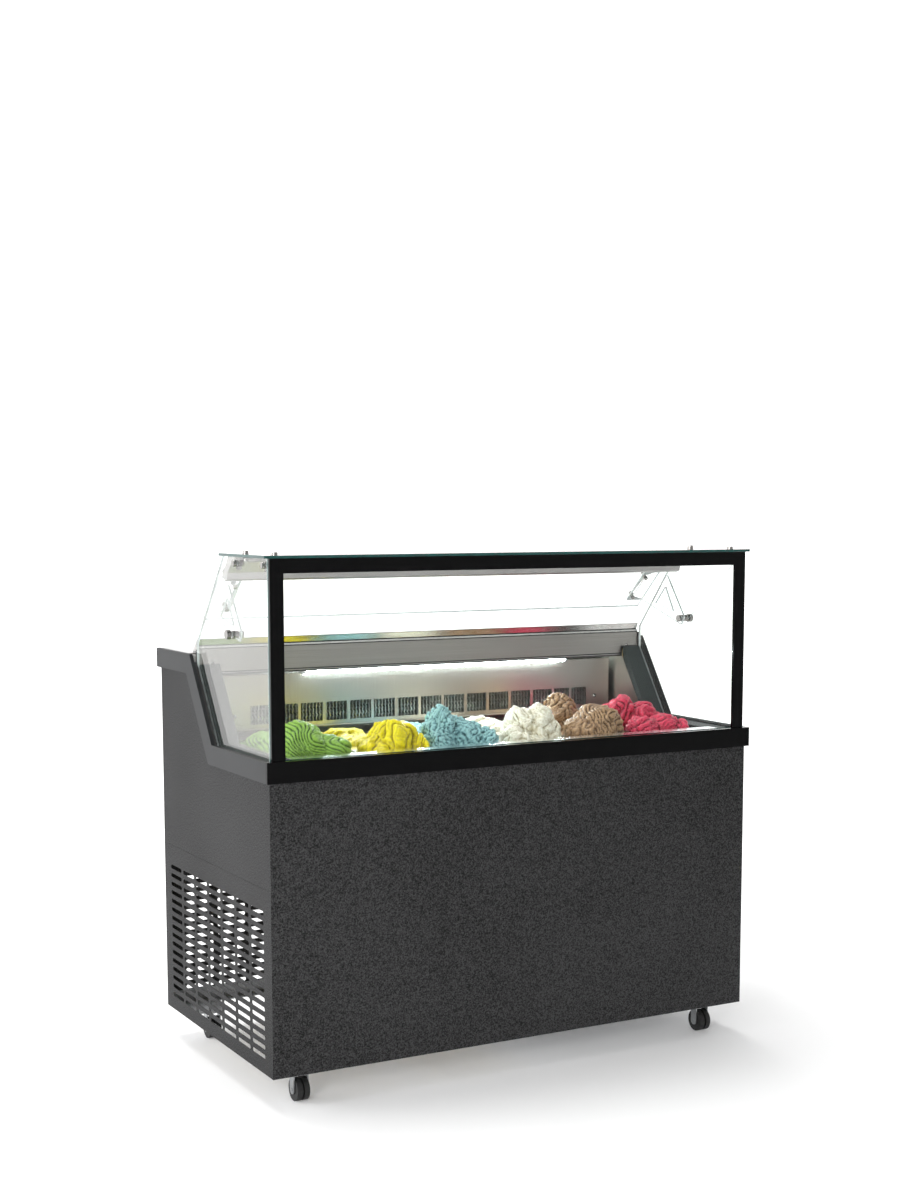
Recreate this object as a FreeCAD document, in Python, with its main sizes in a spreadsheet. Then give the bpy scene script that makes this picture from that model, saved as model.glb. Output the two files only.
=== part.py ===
"""Ice cream dipping cabinet: an insulated well of six pans behind glass, on casters.

Millimetres.  +Z is up, the customer's side faces -Y and the operator stands on +Y.
The origin is on the floor, under the middle of the cabinet.
"""
import FreeCAD, Part
import Sketcher
import os
import re

SIZES = {
    # Cabinet body
    "cabinet_width": 1200, "cabinet_depth": 642, "caster_height": 70, "panel_gauge": 1.2,
    "seam_height": 463, "front_top": 730.5, "rear_rise": 188.5, "front_run": 303, "rear_run": 210,
    "rail_drop": 44, "rail_overhang": 8, "frame_bar": 30, "frame_gauge": 3, "gusset": 85,
    # Ventilation slots
    "slot_length": 70, "slot_height": 9.4, "slot_pitch": 81.6, "slot_row_pitch": 20.3,
    "slot_rise": 36.5,
    # Insulated well
    "wall": 58, "floor_wall": 60, "well_drop": 165.5, "end_wall": 56, "ceiling_drop": 47,
    "liner_gauge": 1, "cheek_drop": 5, "foam_drop": 22, "ledge_gauge": 1.2,
    # Glass box
    "glass": 6, "glass_inset": 6, "glass_sink": 8, "gasket_drop": 14, "glass_height": 409.5,
    "glass_setback": 10, "glass_corner_rise": 26, "glass_slant": 165, "top_setback": 8,
    "frame_band": 30, "frame_depth": 6, "top_glass_overhang": 6, "bracket_leg": 28,
    "bracket_gauge": 4, "bracket_width": 24, "bracket_setback": 29, "bracket_space": 65,
    "screw_radius": 3, "cap_radius": 7, "cap_height": 6,
    # Rear counter
    "fascia_setback": 5, "fascia_gauge": 1.2, "fascia_gap": 2.5, "fascia_notch": 13,
    "fascia_rise": 10, "rim_height": 23, "rim_depth": 37, "rim_seat": 3, "shelf_skirt": 20,
    "shelf_gauge": 1.5,
    # Operator's flap
    "pivot_setback": 201, "pivot_rise": 56, "flap_radius": 146, "flap_gauge": 5,
    "flap_slope": 43.2, "flap_above": 12, "flap_below": 128, "web_inset": 18,
    "web_gauge": 5, "flange": 42, "pin_radius": 4, "pivot_clearance": 0.05, "knob_radius": 10,
    # Pans and their contents
    "pan_width": 165, "pan_length": 360, "pan_depth": 120, "pan_pitch": 176, "pan_gauge": 1,
    "pan_rim": 6, "pan_corner": 18, "pan_tuck": 4, "pan_drop": 10.5, "fill_gap": 0.5,
    "fill_drop": 12, "heap_height": 84, "support_bar": 15,
    # Cooling
    "cover_setback": 44, "cover_gauge": 1.2, "cover_inset": 10.8, "cover_gap": 17,
    "cover_headroom": 10, "window_rise": 10, "window_height": 44, "window_width": 55,
    "window_pitch": 62.8, "narrow_width": 44, "narrow_pitch": 51.5, "window_inset": 78,
    "coil_gap": 3, "coil_depth": 55, "coil_inset": 70.8, "coil_tube": 5,
    "led_left_inset": 207.8, "led_right_inset": 148.8, "led_size": 10,
    "compressor_radius": 85, "compressor_height": 190, "compressor_inset": 300,
    "condenser_half": 150, "condenser_depth": 45, "condenser_height": 280,
    "condenser_inset": 80, "condenser_fan_radius": 110, "evaporator_fan_radius": 55,
    "fan_hub": 22, "blade_gauge": 2, "motor_radius": 25, "pipe_radius": 5, "pipe_bend": 25,
    # Casters
    "caster_inset": 80, "caster_setback": 66, "caster_plate": 60, "caster_plate_gauge": 3,
    "kingpin": 5, "wheel_radius": 25, "wheel_width": 12, "wheel_gap": 4, "trail": 15,
    "axle": 4, "fork_gauge": 2.5, "fork_gap": 1, "fork_drop": 10, "fork_width": 20,
    # Controls
    "panel_inset": 60, "panel_width": 200, "panel_rise": 275, "panel_height": 80,
    "panel_depth": 6, "rocker_width": 20, "rocker_height": 28, "rocker_gap": 1,
    "rocker_tilt": 6, "rocker_inset": 40, "inlet_radius": 11,
}

# Places that follow from those sizes, by the names that expressions use for them.
PLACES = {
    "bend_front": "-cabinet_depth / 2 + front_run",
    "bend_rear": "cabinet_depth / 2 - rear_run",
    "rear_top": "front_top + rear_rise",
    "slot_first_row": "caster_height + slot_rise",
    "well_side": "cabinet_width / 2 - panel_gauge - wall",
    "well_front": "-cabinet_depth / 2 + end_wall",
    "well_rear": "cabinet_depth / 2 - end_wall",
    "well_bottom": "front_top - well_drop",
    "ceiling": "rear_top - ceiling_drop",
    "glass_top": "front_top + glass_height",
    "side_glass_rear": "bend_rear - glass_setback",
    "side_glass_corner": "rear_top + glass_corner_rise",
    "side_glass_peak": "side_glass_rear - glass_slant",
    "top_glass_rear": "side_glass_peak - top_setback",
    "bracket_front": "-cabinet_depth / 2 + bracket_setback",
    "bracket_rear": "top_glass_rear - bracket_space",
    "fascia_face": "bend_rear - fascia_setback",
    "fascia_top": "rear_top + fascia_rise",
    "rim_top": "fascia_top + rim_height",
    "rim_back": "fascia_face - 1 + rim_depth",
    "pivot_back": "side_glass_rear - pivot_setback",
    "pivot_height": "rear_top + pivot_rise",
    "web_plane": "cabinet_width / 2 - glass_inset - glass - web_inset",
    "pan_back": "fascia_face + pan_tuck",
    "pan_top": "front_top - pan_drop",
    "cover_face": "fascia_face + cover_setback",
    "cover_half": "well_side - cover_inset",
    "cover_bottom": "pan_top + cover_gap",
    "cover_top": "ceiling - cover_headroom",
    "window_bottom": "cover_bottom + window_rise",
    "window_right": "well_side - window_inset",
    "coil_half": "well_side - coil_inset",
    "led_left": "led_left_inset - well_side",
    "led_right": "well_side - led_right_inset",
    "compressor_x": "cabinet_width / 2 - compressor_inset",
    "condenser_x": "cabinet_width / 2 - condenser_inset",
    "caster_x": "cabinet_width / 2 - caster_inset",
    "caster_y": "cabinet_depth / 2 - caster_setback",
    "fork_top": "caster_height - fork_drop",
    "panel_right": "cabinet_width / 2 - panel_inset",
    "panel_left": "panel_right - panel_width",
    "panel_low": "caster_height + panel_rise",
    "panel_high": "panel_low + panel_height",
    "rocker_x": "panel_right - rocker_inset",
}

doc = FreeCAD.newDocument("dipping_cabinet")
sheet = doc.addObject("Spreadsheet::Sheet", "sizes")
for row, (alias, size) in enumerate(SIZES.items(), 1):
    sheet.set(f"A{row}", alias)
    sheet.set(f"B{row}", str(size))
    sheet.setAlias(f"B{row}", alias)
doc.recompute()
nodes = []

# Places that several pieces share, as expressions of the sheet's sizes.
SIDE = "cabinet_width / 2"
FRONT = "-cabinet_depth / 2"
REAR = "cabinet_depth / 2"
INNER_SIDE = "(cabinet_width / 2 - panel_gauge)"
GLASS_OUT = "(cabinet_width / 2 - glass_inset)"
GLASS_IN = "(cabinet_width / 2 - glass_inset - glass)"
WELL_SIDE = "well_side"
PANE_BACK = "(-cabinet_depth / 2 + frame_depth + glass)"
RISE = "(rear_top - front_top)"
RUN = "(bend_rear - bend_front)"
MITRE = f"((sqrt({RISE}^2 + {RUN}^2) - {RUN}) / {RISE})"
PAN_FRONT = "(pan_back - pan_length)"


# ---------------------------------------------------------------- building blocks
def linked(expression):
    """The expression with its places written out and each size pointing at its cell."""
    def cell(match):
        word = match.group()
        if word in PLACES:
            return f"({linked(PLACES[word])})"
        return f"sizes.{word}" if word in SIZES else word

    return re.sub(r"[a-z][a-z_]*", cell, str(expression))


def value(expression):
    """What an expression comes to now, in millimetres."""
    result = sheet.evalExpression(linked(expression))
    return float(getattr(result, "Value", result))


def bind(item, **expressions):
    for name, expression in expressions.items():
        item.setExpression(name.replace("__", "."), linked(expression))
    return item


def node(label, item):
    """Name an object as one of the cabinet's sub-parts."""
    item.Label = label
    nodes.append(item)
    return item


def move(item, x=0, y=0, z=0):
    """Put an object's own origin at a point."""
    return bind(item, Placement__Base__x=x, Placement__Base__y=y, Placement__Base__z=z)


def turn(item, axis, angle):
    item.Placement = FreeCAD.Placement(item.Placement.Base, FreeCAD.Rotation(axis, angle))
    return item


def box(name, x, y, z):
    """Block between two expressions along each axis."""
    block = doc.addObject("Part::Box", name)
    for size, axis, (low, high) in (("Length", "x", x), ("Width", "y", y), ("Height", "z", z)):
        bind(block, **{size: f"({high}) - ({low})", f"Placement__Base__{axis}": low})
    return block


TURNS = {
    "X": FreeCAD.Rotation(FreeCAD.Vector(0, 1, 0), 90),
    "Y": FreeCAD.Rotation(FreeCAD.Vector(1, 0, 0), -90),
    "Z": FreeCAD.Rotation(),
}


def rod(name, axis, span, centre, radius):
    """Cylinder along an axis, between two expressions, about the other two coordinates."""
    cylinder = doc.addObject("Part::Cylinder", name)
    cylinder.Placement = FreeCAD.Placement(FreeCAD.Vector(), TURNS[axis])
    start, end = span
    bind(cylinder, Radius=radius, Height=f"({end}) - ({start})")
    place = list(centre)
    place.insert("XYZ".index(axis), start)
    return move(cylinder, *place)


def fuse(name, *shapes):
    joined = doc.addObject("Part::MultiFuse", name)
    joined.Shapes = list(shapes)
    return joined


def cut(name, base, *tools):
    rest = doc.addObject("Part::Cut", name)
    rest.Base = base
    rest.Tool = tools[0] if len(tools) == 1 else group(name + "_tools", *tools)
    return rest


def group(name, *shapes):
    """Separate solids kept in one object."""
    bundle = doc.addObject("Part::Compound", name)
    bundle.Links = list(shapes)
    return bundle


def mirrored(item, normal=(1, 0, 0)):
    other = doc.addObject("Part::Mirroring", item.Name + "_mirrored")
    other.Source = item
    other.Normal = normal
    return other


def origin_plane(body, role):
    return next(part for part in body.Origin.OriginFeatures if part.Role == role)


def sketch_on(body, plane, offset, loops, circles=()):
    """Sketch of closed polygons and circles whose coordinates follow the sheet."""
    sketch = body.newObject("Sketcher::SketchObject", body.Name + "_sketch")
    sketch.AttachmentSupport = [(origin_plane(body, plane + "_Plane"), "")]
    sketch.MapMode = "FlatFace"
    bind(sketch, AttachmentOffset__Base__z=offset)
    rules, formulas = [], []

    def pin(kind, geometry, point, formula):
        rules.append(Sketcher.Constraint(kind, -1, 1, geometry, point, value(formula)))
        formulas.append((len(rules) - 1, formula))

    for loop in loops:
        corners = [FreeCAD.Vector(value(across), value(up), 0) for across, up in loop]
        first = sketch.GeometryCount
        for index, corner in enumerate(corners):
            follower = corners[(index + 1) % len(corners)]
            sketch.addGeometry(Part.LineSegment(corner, follower))
        for index, (across, up) in enumerate(loop):
            rules.append(Sketcher.Constraint("Coincident", first + index, 2,
                                             first + (index + 1) % len(loop), 1))
            pin("DistanceX", first + index, 1, across)
            pin("DistanceY", first + index, 1, up)
    for across, up, radius in circles:
        centre = FreeCAD.Vector(value(across), value(up), 0)
        ring = sketch.addGeometry(Part.Circle(centre, FreeCAD.Vector(0, 0, 1), value(radius)))
        pin("DistanceX", ring, 3, across)
        pin("DistanceY", ring, 3, up)
        rules.append(Sketcher.Constraint("Radius", ring, value(radius)))
        formulas.append((len(rules) - 1, radius))
    sketch.addConstraint(rules)
    for index, formula in formulas:
        sketch.setExpression(f"Constraints[{index}]", linked(formula))
    return sketch


def plate(name, plane, span, *loops, circles=()):
    """Body padded from a sketch between two expressions along the plane's axis."""
    body = doc.addObject("PartDesign::Body", name)
    start, end = span
    offset = f"-({end})" if plane == "XZ" else start
    sketch = sketch_on(body, plane, offset, loops, circles)
    pad = body.newObject("PartDesign::Pad", name + "_pad")
    pad.Profile = sketch
    bind(pad, Length=f"({end}) - ({start})")
    return body


def rectangle(across, up):
    (left, right), (low, high) = across, up
    return [(left, low), (right, low), (right, high), (left, high)]


def upright_edges(shape):
    """Names of the edges that run along Z."""
    names = []
    for number, edge in enumerate(shape.Edges, 1):
        low, high = edge.BoundBox.ZMin, edge.BoundBox.ZMax
        if high - low > 0.999 * edge.Length and edge.Length > 0:
            names.append(f"Edge{number}")
    return names


def rounded_block(name, x, y, z, radius):
    """Block with its four upright edges rounded."""
    body = plate(name, "XY", z, rectangle(x, y))
    doc.recompute()
    pad = body.Tip
    fillet = body.newObject("PartDesign::Fillet", name + "_corners")
    fillet.Base = (pad, upright_edges(pad.Shape))
    bind(fillet, Radius=radius)
    return body


def below_line(drop):
    """The two bends of the cabinet's stepped top edge, a distance below it."""
    shift = f"{MITRE} * ({drop})"
    return [(f"bend_front + {shift}", f"front_top - ({drop})"),
            (f"bend_rear + {shift}", f"rear_top - ({drop})")]


def on_slope(drop, across):
    """Height of the sloping stretch, a distance below the top edge, at one Y."""
    foot = f"(bend_front + {MITRE} * ({drop}))"
    return f"front_top - ({drop}) + (({across}) - {foot}) * {RISE} / {RUN}"


def strip(front, rear, upper, lower):
    """Band along the stepped top edge between two distances below it."""
    top, bottom = below_line(upper), below_line(lower)
    return [(front, f"front_top - ({lower})"), *bottom, (rear, f"rear_top - ({lower})"),
            (rear, f"rear_top - ({upper})"), *reversed(top), (front, f"front_top - ({upper})")]


# ---------------------------------------------------------------- cabinet body
def base_frame():
    """Welded ring of angle bars with two cross bars and the machine tray."""
    low, bar, gauge = "caster_height", "frame_bar", "frame_gauge"
    front, rear = f"({FRONT} + panel_gauge)", f"({REAR} - panel_gauge)"

    def angle(wall, inward):
        reach, skin = f"{wall} + {inward} * {bar}", f"{wall} + {inward} * {gauge}"
        return [(wall, low), (reach, low), (reach, f"{low} + {gauge}"),
                (skin, f"{low} + {gauge}"), (skin, f"{low} + {bar}"), (wall, f"{low} + {bar}")]

    across = (f"-{INNER_SIDE}", INNER_SIDE)
    along = (f"{front} + {bar}", f"{rear} - {bar}")
    bars = [plate("frame_front", "YZ", across, angle(front, 1)),
            plate("frame_rear", "YZ", across, angle(rear, -1)),
            plate("frame_left", "XZ", along, angle(f"-{INNER_SIDE}", 1)),
            plate("frame_right", "XZ", along, angle(INNER_SIDE, -1))]
    for name, middle in (("frame_cross_left", "-caster_x / 2"), ("frame_cross_right", "0")):
        width = (f"{middle} - {bar} / 2", f"{middle} + {bar} / 2")
        bars.append(box(name, width, along, (low, f"{low} + {gauge}")))
    for name, end in (("gusset_front", -1), ("gusset_rear", 1)):
        wall = front if end < 0 else rear
        reach = sorted((f"{wall} - ({end}) * {bar}", f"{wall} - ({end}) * ({bar} + gusset)"),
                       key=value)
        bars.append(box(name, (f"-{INNER_SIDE} + {bar}", f"-{INNER_SIDE} + {bar} + gusset"),
                        tuple(reach), (low, f"{low} + {gauge}")))
    bars.append(box("machine_tray", (f"{bar} / 2", f"{INNER_SIDE} - {bar}"), along,
                    (low, f"{low} + {gauge}")))
    node("base_frame", group("frame_group", *bars))


def front_panel():
    skin = box("front_skin", (f"-{SIDE}", SIDE), (FRONT, f"{FRONT} + panel_gauge"),
               ("caster_height", "front_top - frame_gauge - glass_sink"))
    node("front_panel", skin)


def side_panels():
    """Upper side skins, cut to the stepped top edge, over the lower vented ones."""
    bends = below_line("gasket_drop + 1")
    front, rear = f"{FRONT} + panel_gauge", f"{REAR} - panel_gauge"
    outline = [(front, "seam_height"), (rear, "seam_height"), (rear, f"{bends[1][1]}"),
               bends[1], bends[0], (front, bends[0][1])]
    left = plate("side_skin", "YZ", (f"-{SIDE}", f"-{INNER_SIDE}"), outline)
    node("side_panels", group("side_skins", left, mirrored(left)))


def slot_count(room, pitch):
    """How many slots fit in a length, at their pitch."""
    return int(value(f"({room}) / {pitch}")) + 1


def slotted(name, plane, span, across, columns, first_column):
    """Plate below the seam with rows of round-ended slots."""
    body = plate(name, plane, span, rectangle(across, ("caster_height", "seam_height - 0.5")))
    doc.recompute()
    reach, half = value("slot_length / 2 - slot_height / 2"), value("slot_height / 2")
    row_height = value("slot_first_row")
    offset = f"-({span[1]})" if plane == "XZ" else span[0]
    sketch = sketch_on(body, plane, offset, [])
    rows_needed = slot_count("seam_height - caster_height - 2 * slot_rise", "slot_row_pitch")
    for column in range(columns):
        middle = value(f"{first_column} + {column} * slot_pitch")
        corners = [FreeCAD.Vector(middle + side * reach, row_height + up * half, 0)
                   for side, up in ((-1, -1), (1, -1), (1, 1), (-1, 1))]
        ends = [FreeCAD.Vector(middle + side * (reach + half), row_height, 0) for side in (-1, 1)]
        sketch.addGeometry([Part.LineSegment(corners[0], corners[1]),
                            Part.Arc(corners[1], ends[1], corners[2]),
                            Part.LineSegment(corners[2], corners[3]),
                            Part.Arc(corners[3], ends[0], corners[0])])
    pocket = body.newObject("PartDesign::Pocket", name + "_slots")
    pocket.Profile = sketch
    pocket.Type = "ThroughAll"
    pocket.Midplane = True
    rows = body.newObject("PartDesign::LinearPattern", name + "_rows")
    rows.Originals = [pocket]
    rows.Direction = (sketch, ["V_Axis"])
    bind(rows, Length=f"slot_row_pitch * {rows_needed - 1}")
    rows.Occurrences = rows_needed
    body.Tip = rows
    return body


def grilles():
    across = (f"{FRONT} + panel_gauge", f"{REAR} - panel_gauge")
    columns = slot_count("cabinet_depth - slot_pitch * 1.5", "slot_pitch")
    left = slotted("side_vents", "YZ", (f"-{SIDE}", f"-{INNER_SIDE}"), across, columns,
                   f"-slot_pitch * {(columns - 1) / 2}")
    node("side_grilles", group("side_vent_pair", left, mirrored(left)))
    width = (f"-{SIDE}", SIDE)
    columns = slot_count("cabinet_width * 0.7", "slot_pitch") - 1
    rear = slotted("rear_vents", "XZ", (f"{REAR} - panel_gauge", REAR), width, columns,
                   f"-{SIDE} + slot_pitch")
    node("rear_grille", rear)


def rear_panel():
    node("rear_panel", box("rear_skin", (f"-{SIDE}", SIDE), (f"{REAR} - panel_gauge", REAR),
                           ("seam_height", "rear_top - shelf_skirt")))


def rails():
    """Dark trim band that caps the cabinet's stepped top edge."""
    end, outer = f"{FRONT} - rail_overhang", f"({SIDE} + rail_overhang)"
    face = box("rail_face", (f"-{outer}", outer), (end, FRONT),
               ("front_top - rail_drop", "front_top"))
    sill = box("rail_sill", (f"-{SIDE}", SIDE), (FRONT, PANE_BACK),
               ("front_top - frame_gauge", "front_top"))
    node("front_rail", fuse("rail_front", face, sill))
    left = plate("rail_left", "YZ", (f"-{outer}", f"-{SIDE}"),
                 strip(FRONT, f"{REAR} + rail_overhang", "0", "rail_drop"))
    node("side_rails", group("rail_pair", left, mirrored(left)))


# ---------------------------------------------------------------- insulated well
def foam_outline(drop):
    bends = below_line(drop)
    front, rear = f"{FRONT} + panel_gauge", f"{REAR} - panel_gauge"
    return [(front, "well_bottom - floor_wall"), (rear, "well_bottom - floor_wall"),
            (rear, bends[1][1]), bends[1], bends[0], (front, bends[0][1])]


def well_outline(inset, mouth):
    """Section of the well; its open mouth is raised by a distance to cut it clear."""
    foot = below_line("foam_drop")[0]
    nose = f"({foot[0]} + (ceiling - front_top + foam_drop) * {RUN} / {RISE} - {mouth})"
    return [(f"well_front + {inset}", f"well_bottom + {inset}"),
            (f"well_rear - {inset}", f"well_bottom + {inset}"),
            (f"well_rear - {inset}", f"ceiling - {inset}"),
            (nose, f"ceiling - {inset}"),
            (f"{foot[0]} - {mouth}", f"{foot[1]} + {mouth}"),
            (f"well_front + {inset}", f"{foot[1]} + {mouth}")]


def insulated_well():
    block = plate("foam_block", "YZ", (f"-{INNER_SIDE}", INNER_SIDE), foam_outline("foam_drop"))
    hollow = plate("foam_hollow", "YZ", (f"-{WELL_SIDE}", WELL_SIDE), well_outline("0", "10"))
    node("tank_foam", cut("foam_cut", block, hollow))
    skin = plate("liner_skin", "YZ", (f"-{WELL_SIDE}", WELL_SIDE), well_outline("0", "0"))
    inner = (f"-{WELL_SIDE} + liner_gauge", f"{WELL_SIDE} - liner_gauge")
    space = plate("liner_space", "YZ", inner, well_outline("liner_gauge", "10"))
    node("tank_liner", cut("liner_cut", skin, space))


def side_cheeks():
    """Plastic caps over the tops of the well's two side walls."""
    foot, seat = below_line("cheek_drop")[0], below_line("foam_drop")[0]
    stop = "side_glass_rear"
    outline = [(PANE_BACK, "front_top - foam_drop"), seat, (stop, on_slope("foam_drop", stop)),
               (stop, on_slope("cheek_drop", stop)), foot, (PANE_BACK, "front_top - cheek_drop")]
    left = plate("cheek_left", "YZ", (f"-{GLASS_IN}", f"-{WELL_SIDE}"), outline)
    node("side_cheeks", group("cheek_pair", left, mirrored(left)))


def front_ledge():
    """Folded steel sill between the front glass and the pans."""
    top, skin = "front_top - ledge_gauge", "ledge_gauge"
    lip, back = "front_top - foam_drop", "(well_front + liner_gauge)"
    profile = [(PANE_BACK, f"{top} - {skin}"), (f"{back}", f"{top} - {skin}"),
               (back, lip), (f"{back} + {skin}", lip), (f"{back} + {skin}", top),
               (PANE_BACK, top)]
    node("front_ledge", plate("ledge", "YZ", (f"-{WELL_SIDE} + liner_gauge",
                                              f"{WELL_SIDE} - liner_gauge"), profile))


# ---------------------------------------------------------------- glass box
def bracket_places():
    """Y of the two corner brackets on each side."""
    return ("bracket_front", "bracket_rear")


SIDE_SCREW = "(glass_top - bracket_leg / 2)"
TOP_SCREW = f"({GLASS_IN} - bracket_leg * 0.6)"


def front_glass():
    width, height = (f"-{GLASS_OUT}", GLASS_OUT), ("front_top", "glass_top")
    left, right = f"-{GLASS_OUT} + frame_band", f"{GLASS_OUT} - frame_band"
    lintel = "glass_top - frame_band"
    outer = [(f"-{GLASS_OUT}", "front_top"), (left, "front_top"), (left, lintel),
             (right, lintel), (right, "front_top"), (GLASS_OUT, "front_top"),
             (GLASS_OUT, "glass_top"), (f"-{GLASS_OUT}", "glass_top")]
    node("front_glass_frame", plate("pane_band", "XZ", (FRONT, f"{FRONT} + frame_depth"), outer))
    node("front_glass", box("pane_front", width, (f"{FRONT} + frame_depth", PANE_BACK), height))


def side_glasses():
    """Side panes, holed for the bracket screws and for the flap's pivot."""
    foot = below_line("glass_sink")[0]
    front = f"{PANE_BACK} + 0.5"
    outline = [(front, "front_top - glass_sink"), foot,
               ("side_glass_rear", on_slope("glass_sink", "side_glass_rear")),
               ("side_glass_rear", "side_glass_corner"), ("side_glass_peak", "glass_top"),
               (front, "glass_top")]
    holes = [(place, SIDE_SCREW, "screw_radius") for place in bracket_places()]
    holes.append(("pivot_back", "pivot_height", "pin_radius"))
    left = plate("pane_left", "YZ", (f"-{GLASS_OUT}", f"-{GLASS_IN}"), outline, circles=holes)
    node("side_glasses", group("pane_pair", left, mirrored(left)))


def glass_gaskets():
    """Black strip that beds each side pane in its rail, and the stop behind the pane."""
    front, stop = PANE_BACK, "side_glass_rear"
    slope = on_slope("gasket_drop", stop), on_slope("1.5", stop)
    foot, crest = below_line("gasket_drop")[0], below_line("1.5")[0]
    side = [(front, "front_top - gasket_drop"), foot, (stop, slope[0]), (stop, slope[1]), crest,
            (front, "front_top - 1.5")]
    seat = [(front, "front_top - gasket_drop"), foot, (stop, slope[0]),
            (stop, on_slope("glass_sink", stop)), below_line("glass_sink")[0],
            (front, "front_top - glass_sink")]
    left = fuse("gasket_left",
                plate("gasket_side", "YZ", (f"-{SIDE}", f"-{GLASS_OUT}"), side),
                plate("gasket_seat", "YZ", (f"-{GLASS_OUT}", f"-{GLASS_IN}"), seat))
    back = box("gasket_back", (f"-{GLASS_OUT}", f"-{GLASS_IN}"), (f"{stop} + 0.3", "fascia_face"),
               (f"{on_slope('glass_sink', stop)} + glass", "fascia_top"))
    node("glass_gaskets", group("gasket_set", left, back, mirrored(left), mirrored(back)))


def top_glass():
    edge = "(cabinet_width / 2 + top_glass_overhang)"
    holes = [(f"{sign}{TOP_SCREW}", place, "screw_radius")
             for sign in ("-", "") for place in bracket_places()]
    outline = rectangle((f"-{edge}", edge), (f"{FRONT} - 2", "top_glass_rear"))
    node("top_glass", plate("pane_top", "XY", ("glass_top", "glass_top + glass"), outline,
                            circles=holes))


def glass_brackets():
    """Four angle brackets that join the side panes to the top pane."""
    solids = []
    for number, place in enumerate(bracket_places()):
        width = (f"{place} - bracket_width / 2", f"{place} + bracket_width / 2")
        low, reach = "glass_top - bracket_leg", f"-{GLASS_IN} + bracket_leg"
        profile = [(f"-{GLASS_IN}", low), (f"-{GLASS_IN} + bracket_gauge", low),
                   (f"-{GLASS_IN} + bracket_gauge", "glass_top - bracket_gauge"),
                   (reach, "glass_top - bracket_gauge"), (reach, "glass_top"),
                   (f"-{GLASS_IN}", "glass_top")]
        angle = plate(f"bracket_angle_{number}", "XZ", width, profile)
        side_hole = rod(f"bracket_side_hole_{number}", "X",
                        (f"-{GLASS_IN} - 1", f"-{GLASS_IN} + bracket_gauge + 1"),
                        (place, SIDE_SCREW), "screw_radius")
        top_hole = rod(f"bracket_top_hole_{number}", "Z",
                       ("glass_top - bracket_gauge - 1", "glass_top + 1"),
                       (f"-{TOP_SCREW}", place), "screw_radius")
        left = cut(f"bracket_{number}", angle, side_hole, top_hole)
        solids += [left, mirrored(left)]
    node("glass_brackets", group("bracket_set", *solids))


def capped_screw(name, axis, centre, outside, inside, direction, radii):
    """Screw through a pane: a cap on each side of it and a shank between them."""
    shank, cap = radii
    outer = f"{outside} + {direction} * cap_height"
    nut = f"{inside} - {direction} * cap_height"
    spans = {1: ((outside, outer), (nut, inside), (inside, outside)),
             -1: ((outer, outside), (inside, nut), (outside, inside))}[direction]
    return fuse(name, rod(name + "_cap", axis, spans[0], centre, cap),
                rod(name + "_nut", axis, spans[1], centre, f"{cap} - 1.5"),
                rod(name + "_shank", axis, spans[2], centre, shank))


def glass_fasteners():
    """Chrome screws of the brackets and the two pivot knobs that carry the flap."""
    solids = []
    for number, place in enumerate(bracket_places()):
        inside = f"-{GLASS_IN} + bracket_gauge"
        side = capped_screw(f"side_screw_{number}", "X", (place, SIDE_SCREW), f"-{GLASS_OUT}",
                            inside, -1, ("screw_radius", "cap_radius"))
        top = capped_screw(f"top_screw_{number}", "Z", (f"-{TOP_SCREW}", place),
                           "glass_top + glass", "glass_top - bracket_gauge", 1,
                           ("screw_radius", "cap_radius"))
        solids += [side, mirrored(side), top, mirrored(top)]
    pivot = ("pivot_back", "pivot_height")
    web_out = "-(web_plane + web_gauge + 0.5)"
    knob = fuse("pivot_knob",
                rod("knob_cap", "X", (f"-{GLASS_OUT} - cap_height * 1.5", f"-{GLASS_OUT}"), pivot,
                    "knob_radius"),
                rod("knob_pin", "X", (f"-{GLASS_OUT}", "-web_plane + 0.5"), pivot, "pin_radius"),
                rod("knob_spacer", "X", (f"-{GLASS_IN}", web_out), pivot, "knob_radius - 2"),
                rod("knob_nut", "X", ("-web_plane + 0.5", "-web_plane + cap_height"), pivot,
                    "knob_radius - 2"))
    node("glass_fasteners", group("fastener_set", *solids, knob, mirrored(knob)))


def top_profile():
    """Ribbed aluminium bar that stiffens the rear edge of the top pane."""
    top = "glass_top"
    steps = [(-48, 0), (-8, 0), (9, -22), (29, -34), (22, -39), (30, -44), (10, -54), (0, -50),
             (-4, -36), (-28, -14), (-48, -10)]
    profile = [(f"top_glass_rear + {across}", f"{top} + {up}") for across, up in steps]
    node("top_profile", plate("profile_bar", "YZ", (f"-{GLASS_IN} + 0.5", f"{GLASS_IN} - 0.5"),
                              profile))


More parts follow.
